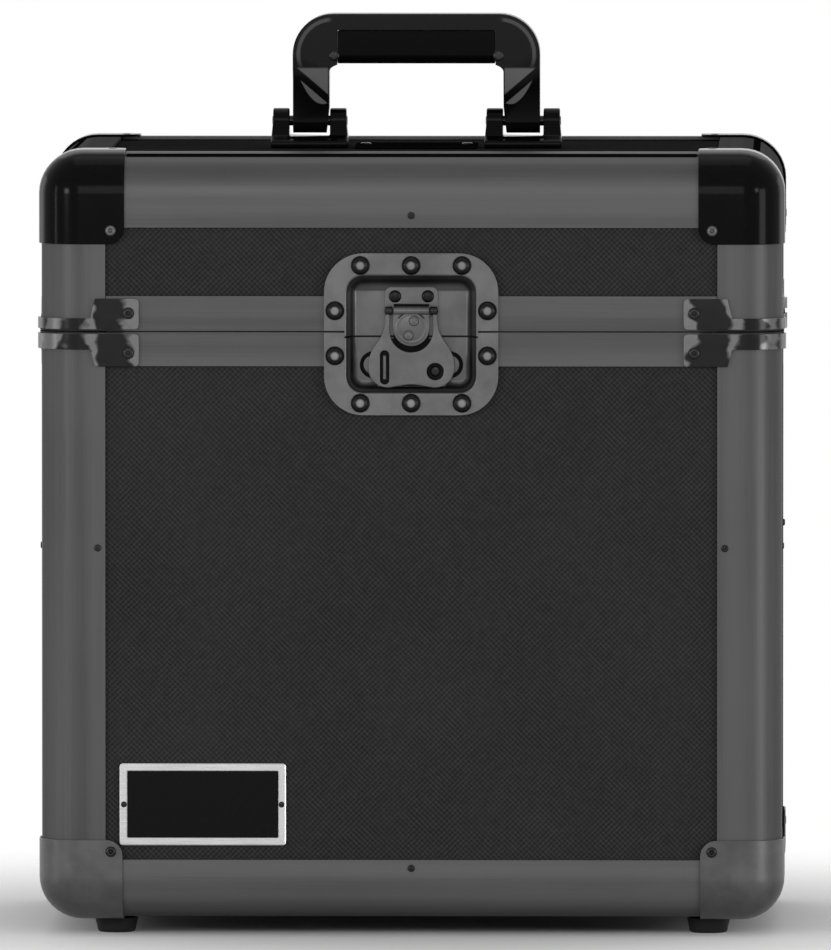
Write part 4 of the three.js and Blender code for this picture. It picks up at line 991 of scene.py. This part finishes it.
def latch_wing():
    """The butterfly wing: a stamping hung on its pin, with a padlock slot and a round hole."""
    shoulder, neck, lobe, low, wide, foot = 12.6, 6.5, -17.5, -27.4, 21, 11
    flare, belly, heel = (neck + lobe) / 2, lobe + (low - lobe) * 0.62, foot + (wide - foot) * 0.55
    right_side = [(10.7, pin_up), (shoulder, pin_up), (shoulder, neck)]
    right_side += sweep((shoulder, neck), (shoulder, flare), (wide, flare), (wide, lobe))
    right_side += sweep((wide, lobe), (wide, belly), (heel, low), (foot, low))
    right_side += sweep((foot, low), (7, low + 0.6), (4, low + 1.5), (0, low + 1.6))
    left_side = [(-x, z) for x, z in reversed(right_side[:-1])]
    hollow = arc((0, 0.6), 10.7, 180, 360, 32)
    wing = stamped("wing_stamping", [
        right_side + left_side + hollow, slot_outline(4.5, 16.5), arc(screw_hole, 4.2, 0, 345, 23)],
        pin_depth, 1.6, 0.35)
    finished(wing, latch_steel, "wing", "steel", "latch_wing", angle=35)
    # The knuckles are dark steel: painted shade on the ends of the wing's barrel.
    fitted(wing_knuckle, "wing_knuckles", [
        ((sign * 9.2 * mm, pin_depth, split + pin_up * mm), (sign, 0, 0)) for sign in (-1, 1)], "wing")


def latch_hub():
    """The hub: a plate with a round end, a domed boss, two set rivets, its rolled knuckle and the pin."""
    half, face = 8.8, pin_depth - 0.8 * mm
    outline = arc((0, hub_up), half, 180, 360, 32) + [(half, pin_up), (-half, pin_up)]
    plate = stamped("hub_plate", [outline], pin_depth, 1.6, 0.3)
    finished(plate, latch_steel, "hub", "steel", "latch_hub", angle=35)
    boss = turned("hub_boss", [
        (7.9, -0.4), (7.9, 0.1), (7.7, 0.3), (7.2, 0.42), (6.6, 0.45), (6.35, 0.3), (6.1, 0.3), (5.8, 0.46),
        (4, 0.62), (0.5, 0.68)], 48)
    turned_to(boss, (0, face, split + hub_up * mm), forward)
    finished(boss, latch_steel, "hub", "steel", angle=35)
    spots = [(1.3, hub_up + 3.5), (-1.3, hub_up - 3.5)]
    fitted(set_rivet, "hub_rivets", [
        ((x * mm, face - 0.45 * mm, split + z * mm), forward) for x, z in spots], "hub", latch_steel)
    rings = [(f"hub_ring_{which}", [arc(spot, radius, 0, 350, 35) for radius in (2.5, 2.15)])
             for which, spot in zip(("upper", "lower"), spots)]
    mark = arc((0, hub_up), 8.2, 38, 142, 24) + arc((0, hub_up), 7.6, 142, 38, 24)
    for name, outlines in rings + [("hub_arc", [mark])]:
        ring = stamped(name, outlines, face - 0.62 * mm, 0.2, 0.04)
        finished(ring, dark_steel, "hub", "steel", angle=35)
    for name, radius, reach, material in (
            ("hub_knuckle", 2.1, half, latch_steel), ("latch_pin", 0.9, 13.1, dark_steel)):
        rod = turned(name, [
            (radius * 0.6, -reach), (radius, -reach + 0.25), (radius, reach - 0.25), (radius * 0.6, reach)], 24)
        turned_to(rod, (0, pin_depth, split + pin_up * mm), sideways)
        finished(rod, material, "hub", "steel", angle=45)


def latch_keeper():
    """The keeper on the lid: a plate with a lip for the hook and two rivets."""
    face, half, lip_half, lip_end = dish_floor - 1.5 * mm, 13 * mm, 6 * mm, split + 10 * mm
    keeper = block("keeper_plate", (-half, face, split + 8.6 * mm), (half, dish_floor - 0.3 * mm, split + 21.5 * mm))
    with Bench(keeper) as bench:
        bench.edges(lambda a, b: abs(a.y - b.y) > 1 * mm)
        bench.round(3 * mm, 6)
        bench.slice((0, 0, lip_end), upward)
        for x in (-lip_half, lip_half):
            bench.slice((x, 0, 0), sideways)
        bench.faces(lambda centre, normal: normal.y < -0.9 and centre.z < lip_end and abs(centre.x) < lip_half)
        bench.extrude(0, -0.7 * mm, 0)
        bench.face_outwards()
    soft_edges(keeper, 0.25)
    finished(keeper, latch_steel, "lid", "steel", "latch_keeper", angle=32)
    fitted(pan_rivet, "keeper_rivets", [
        ((x, face, split + 17 * mm), forward) for x in (-8 * mm, 8 * mm)], "lid", rivet_steel)


for node, body, level, side_level in (
        ("latch_dish_upper", "lid", 32.4, 10.3), ("latch_dish_lower", "case_body", -34.8, -11.7)):
    finished(dish_half(node, body == "lid"), dish_steel, body, "steel", node)
    places = [(x, level) for x in (-24.8, 0, 24.8)] + [(x, side_level) for x in (-37.2, 37.2)]
    fitted(dome_rivet, f"{node}_rivets", [
        ((x * mm, flange_face, split + z * mm), forward) for x, z in places], body, rivet_steel, angle=50)
latch_base()
latch_wing()
latch_hub()
latch_keeper()
staple = block(
    "padlock_staple", (-14 * mm, pin_depth + 1.1 * mm, split - 23.6 * mm), (-12 * mm, dish_floor, split - 11.6 * mm))
finished(soft_edges(staple, 0.6, 3), latch_steel, "case_body", "steel", angle=32)
stud = turned("latch_stud", [(2, -5), (2, 0.1), (3.5, 0.15), (3.6, 0.4), (3.2, 0.9), (0.5, 1.0)])
turned_to(stud, (0, pin_depth + 2.1 * mm, split - 19 * mm), forward)
finished(stud, dark_steel, "case_body", "steel", angle=45)


# ---- profiles, rails and braces

def without_heads(piece):
    """Takes the plain rivet heads off a copy of an edge profile, past the outer planes, and closes the holes."""
    with Bench(piece) as bench:
        bench.delete(lambda centre, normal: (
            min(centre.x - left, right - centre.x, centre.y - front, back - centre.y, top - centre.z) < -0.02 * mm))
        bench.close_holes()


def without_braces(rail):
    """Takes the plain braces off a copy of a closing rail: all that lies past the outer planes, and their corners."""
    past, corner = 0.15 * mm, 31 * mm
    with Bench(rail) as bench:
        for point, direction in (
                ((left - past, 0, 0), (-1, 0, 0)), ((right + past, 0, 0), sideways),
                ((0, front - past, 0), forward), ((0, back + past, 0), rearward)):
            bench.slice(point, direction, drop=True)
        bench.delete(lambda centre, normal: (
            min(centre.x - left, right - centre.x) < corner and min(centre.y - front, back - centre.y) < corner))
        bench.close_holes()
        bench.face_outwards()


def profiles():
    """The edge profiles and closing rails, smoothed, with their sharp edges broken."""
    for material, starts in profile_finishes.items():
        for node in [name for name in nodes if name.startswith(starts)]:
            piece = cleaned_copy(node, f"{node}_profile")
            if "rim" in node:
                without_braces(piece)
            else:
                without_heads(piece)
            soft_edges(piece, 0.2, angle=40)
            finished(piece, material, "lid" if node.startswith("lid") else "case_body", "aluminium", node, angle=36)


def flange_rivets():
    """Blind rivets half-way along the flanges of the posts and of the lying profiles."""
    post_z, low_z, high_z = underside + 181.3 * mm, underside + 24.8 * mm, top - 30.3 * mm
    on_body = [place for corner in case_corners for place in both_faces(*corner, 28 * mm, post_z)]
    middles = [((x, middle_y), (-to_x, 0, 0)) for x, to_x in (sides["left"], sides["right"])]
    middles += [((0, y), (0, -to_y, 0)) for y, to_y in (sides["front"], sides["back"])]
    on_body += [((*place, low_z), outward) for place, outward in middles]
    on_lid = [((*place, high_z), outward) for place, outward in middles]
    fitted(small_blind_rivet, "body_flange_rivets", on_body, "case_body", angle=50)
    fitted(small_blind_rivet, "lid_flange_rivets", on_lid, "lid", angle=50)


def corner_skin(name, low, high, proud, reach, round_off=0.0):
    """Skin round an upright corner. The case's corner is the origin, and the case lies towards +X and +Y."""
    skin = block(name, (-proud, -proud, low), (reach, reach, high))
    with Bench(skin) as bench:
        bench.delete(lambda centre, normal: max(normal.x, normal.y, abs(normal.z)) > 0.9)
        bench.edges(lambda a, b: max(a.x, b.x, a.y, b.y) < -proud + near)
        bench.round(edge_radius + proud, 14)
        if round_off:
            bench.corners(lambda p: max(p.x, p.y) > reach - near)
            bench.round(round_off, 4, affect="VERTICES")
    return skin


def brace(name, far, close, strap):
    """A brace round one corner: two riveted tabs joined by a narrower strap next to the split."""
    pattern = corner_skin(name, min(far, close), max(far, close), brace_proud, 48.1 * mm, 2 * mm)
    with Bench(pattern) as bench:
        for y in (22, 25):
            bench.slice((0, y * mm, 0), rearward)
        bench.corners(lambda p: p.y > 24 * mm)
        bench.move(1.5 * mm, 0, 0)
    thickened(pattern, 1.5)
    past = far + math.copysign(mm, far - close)
    for turn, reach, slant in (
            (0, (27 * mm, 19 * mm), (-2.5 * mm, 0, 0)), (1, (19 * mm, 27 * mm), (0, -2.5 * mm, 0))):
        waist = block("waist", (-4 * mm, -4 * mm, min(strap, past)), (*reach, max(strap, past)))
        with Bench(waist) as bench:
            bench.corners(lambda p: p[turn] > 20 * mm and abs(p.z - strap) < near)
            bench.move(*slant)
        cut(pattern, waist)
    return soft_edges(pattern, 0.35, 3)


def round_corner(piece, name, side_x, side_y):
    """A copy of a corner piece, turned to one of the four upright corners."""
    copy = twin_of(piece, name)
    copy.scale = (sides[side_x][1], sides[side_y][1], 1)
    copy.location = (sides[side_x][0], sides[side_y][0], 0)
    settled(copy)
    with Bench(copy) as bench:
        bench.face_outwards()
    return copy


def braces():
    for part, body, far, close, strap, rivet_level, split_shadow_levels in (
            ("body", "case_body", -17.0, -1.1, -8.7, -10.4, (-0.75, -0.32)),
            ("lid", "lid", 16.1, 1.1, 6.5, 9, (0.32, 0.75))):
        plate = brace(f"{part}_brace_pattern", split + far * mm, split + close * mm, split + strap * mm)
        # Black rubber strips in the split between the braces at each corner: painted shadow in the split.
        lip = corner_skin(f"{part}_split_shadow_pattern", *(split + level * mm for level in split_shadow_levels), 0.8 * mm, 40 * mm)
        thickened(lip, 1.6)
        places = []
        for side_x, side_y in case_corners:
            for start, pattern, material, slot in (
                    (f"{part}_brace", plate, brace_reflection_steel, "steel"), (f"{part}_corner_seal", lip, rubber, "rubber")):
                copy = round_corner(pattern, f"{start}_{side_y}_{side_x}", side_x, side_y)
                finished(copy, material, body, slot)
            places += both_faces(side_x, side_y, 43 * mm, split + rivet_level * mm, brace_proud, -1.0 * mm)
        fitted(brace_rivet, f"{part}_brace_rivets", places, body, angle=50)
        scrap(plate, lip)


def painted_groove_shadows():
    """Black strips in the grooves along the rounded upper edges of the lid: painted shadow in the grooves."""
    lean, radius = math.pi * 0.115, edge_radius + 0.05 * mm
    away, level = edge_radius - radius * math.sin(lean), top - edge_radius + radius * math.cos(lean)
    for name in ("front", "back", "left", "right"):
        (plane, sign), lengthwise = sides[name], name in ("front", "back")
        span = 139 * mm if lengthwise else 99 * mm
        # A thin black strip in the groove: painted shadow.
        shadow_strip = block(f"groove_shadow_{name}", (-span, -1.8 * mm, -0.9 * mm), (span, 1.8 * mm, 0))
        shadow_strip.rotation_euler = (sign * lean, 0, 0) if lengthwise else (lean, 0, -sign * math.pi / 2)
        shadow_strip.location = (0, plane + sign * away, level) if lengthwise else (plane + sign * away, middle_y, level)
        finished(settled(shadow_strip), matt_black, "lid", "rubber", angle=32)


profiles()
painted_groove_shadows()
flange_rivets()
braces()


# ---- hinges

def hinge(side, x):
    """A butt hinge on the back: two leaves with round corners, knuckles in turn and a headed pin."""
    sheet, barrel, half, middle, gap = 1.5 * mm, 3.2 * mm, 22 * mm, 7.5 * mm, 0.3 * mm
    face, axis_y, apart, clear = back + gap, back + 4 * mm, middle + gap, barrel + gap
    for part, body, sign, spans, free in (
            ("lower", "case_body", -1, [(-half, -apart), (apart, half)], [(-apart, apart)]),
            ("upper", "lid", 1, [(-middle, middle)], [(-half - gap, -middle), (middle, half + gap)])):
        far, close = split + sign * 24 * mm, split + sign * 0.6 * mm
        leaf = block(
            f"hinge_{part}_{side}_leaf", (x - half, face, min(far, close)), (x + half, face + sheet, max(far, close)))
        with Bench(leaf) as bench:
            bench.edges(lambda a, b: abs(a.y - b.y) > 1 * mm and abs(a.z - far) < near)
            bench.round(4 * mm, 6)
            bench.face_outwards()
        for start, end in free:
            cut(leaf, block(
                "room", (x + start, back - 1 * mm, split - clear), (x + end, axis_y + barrel, split + clear)))
        for start, end in spans:
            reach = (end - start) / 2 / mm
            roll = turned("knuckle", [
                (1.95, -reach), (2.9, -reach), (3.2, 0.3 - reach), (3.2, reach - 0.3), (2.9, reach),
                (1.95, reach)], 36)
            cut(leaf, turned_to(roll, (x + (start + end) / 2, axis_y, split), sideways), "UNION")
        with Bench(leaf) as bench:
            bench.join_flats()
        soft_edges(leaf, 0.25)
        finished(leaf, charcoal_steel, body, "steel", f"hinge_{part}_{side}")
        fitted(pan_rivet, f"hinge_{part}_{side}_rivets", [
            ((x + step * mm, face + sheet, split + sign * 16 * mm), rearward) for step in (-14, 0, 14)], body)
    reach = half / mm
    pin = turned(f"hinge_pin_{side}", [
        (1.0, -reach - 0.5), (1.6, -reach - 0.2), (1.6, reach + 0.2), (1.0, reach + 0.5)], 24)
    finished(turned_to(pin, (x, axis_y, split), sideways), dark_steel, "case_body", "steel", angle=45)


hinge("left", left + 89 * mm)
hinge("right", right - 89 * mm)


# ---- foam

def foam_tub(node, body, open_way):
    """A foam tub: four walls and a floor, with a soft rolled edge and a slightly uneven napped face."""
    low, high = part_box(node)
    tub = block(f"{node}_foam", low, high)
    with Bench(tub) as bench:
        bench.delete(facing(z=open_way))
    soft_edges(thickened(tub, 4), 1.4, 4)
    with Bench(tub) as bench:
        for axis, direction in enumerate((sideways, rearward, upward)):
            steps = round((high[axis] - low[axis]) / (14 * mm))
            for i in range(1, steps):
                point = [0, 0, 0]
                point[axis] = low[axis] + (high[axis] - low[axis]) * i / steps
                bench.slice(point, direction)
    for corner in tub.data.vertices:
        x, y, z = corner.co
        if all(low[k] + 3 * mm < corner.co[k] < high[k] - 3 * mm for k in (0, 1)):
            swell = math.sin(x * 71 + z * 43) * math.sin(y * 57 - z * 39 + 1.3)
            corner.co += corner.normal * (0.25 * mm * swell)
    finished(tub, foam, body, "foam", node, angle=60)


foam_tub("body_lining", "case_body", 1)
foam_tub("lid_lining", "lid", -1)


# ---- stage

def lamp(name, place, aim, size, power):
    light = bpy.data.lights.new(name, "AREA")
    light.shape, light.size, light.size_y, light.energy = "RECTANGLE", *size, power
    on_stage(name, light, place, Vector(aim) - Vector(place))


def on_stage(name, data, place, gaze):
    """Puts a lamp or a camera in the scene, looking along its gaze."""
    carrier = bpy.data.objects.new(name, data)
    carrier.location = place
    carrier.rotation_mode = "QUATERNION"
    carrier.rotation_quaternion = gaze.to_track_quat("-Z", "Y")
    bpy.context.scene.collection.objects.link(carrier)
    return carrier


def studio():
    """A room that is white for the camera, for mirrors and for glass, and dim for the rays that light the object."""
    world = bpy.data.worlds.new("studio")
    world.use_nodes = True
    tree = world.node_tree
    tree.nodes.clear()
    room, white, choice, out, path = (tree.nodes.new("ShaderNode" + kind) for kind in (
        "Background", "Background", "MixShader", "OutputWorld", "LightPath"))
    room.inputs["Strength"].default_value = 0.35
    white.inputs["Color"].default_value = room.inputs["Color"].default_value = (1, 1, 1, 1)
    seen = path.outputs["Is Camera Ray"]
    for ray in ("Is Glossy Ray", "Is Transmission Ray"):
        either = tree.nodes.new("ShaderNodeMath")
        either.operation = "MAXIMUM"
        tree.links.new(seen, either.inputs[0])
        tree.links.new(path.outputs[ray], either.inputs[1])
        seen = either.outputs[0]
    for start, end in (
            (seen, choice.inputs[0]), (room.outputs[0], choice.inputs[1]), (white.outputs[0], choice.inputs[2]),
            (choice.outputs[0], out.inputs["Surface"])):
        tree.links.new(start, end)
    bpy.context.scene.world = world
    lamp("front_soft", (-0.1, -2.5, 0.8), (0, 0, 0.2), (1.1, 0.8), 9)
    lamp("window_left", (-1.7, -1.9, 0.62), (0, 0, 0.3), (0.42, 0.42), 13)
    lamp("strip_left", (-2.4, -0.8, 0.3), (0, 0, 0.25), (0.12, 1.2), 5)
    lamp("window_right", (2.15, -1.4, 0.3), (0, 0, 0.2), (0.7, 1.0), 15)
    lamp("spot_right", (1.7, -1.9, 0.75), (0, 0, 0.36), (0.3, 0.3), 5)
    lamp("ceiling", (0, 0.2, 2.4), (0, 0, 0.2), (1.4, 1.2), 5)
    lamp("back_top", (0, 1.9, 2.0), (0, 0, 0.3), (2.4, 1.0), 8)
    lamp("back_left", (-2.2, 1.6, 0.6), (0, 0, 0.2), (1.0, 1.0), 5)
    lamp("back_right", (2.2, 1.6, 0.6), (0, 0, 0.2), (1.0, 1.0), 5)


def pale_floor():
    """A pale round floor that fades out into the white of the room."""
    bpy.ops.mesh.primitive_circle_add(vertices=96, radius=2.4, fill_type="NGON", location=(0, 0, 0))
    floor = named("floor")
    finish = Finish("pale_floor", Roughness=0.8, Specular_IOR_Level=0.2)
    away = finish.x.root_of_squares(finish.y)
    coat(floor, finish.set(
        Base_Color=finish.mix(finish.noise(30, detail=3.0), 238, 244), Alpha=1 - away.within(0.12, 0.56)))


def camera():
    """A long lens from far away, a little to the right of the middle and a little above it."""
    lens = bpy.data.cameras.new("photo")
    lens.sensor_width, lens.lens, lens.clip_start, lens.clip_end = 36, 816, 0.1, 100
    distance, turn, rise = 10.5, math.radians(1.1), math.radians(2.8)
    aim = Vector((2.2 * mm, cad_box[0].y, 226 * mm))
    away = Vector((math.sin(turn) * math.cos(rise), -math.cos(turn) * math.cos(rise), math.sin(rise)))
    bpy.context.scene.camera = on_stage("photo", lens, aim + away * distance, -away)


studio()
pale_floor()
camera()
bpy.context.scene.view_settings.view_transform = "Standard"
scrap(*small_parts)
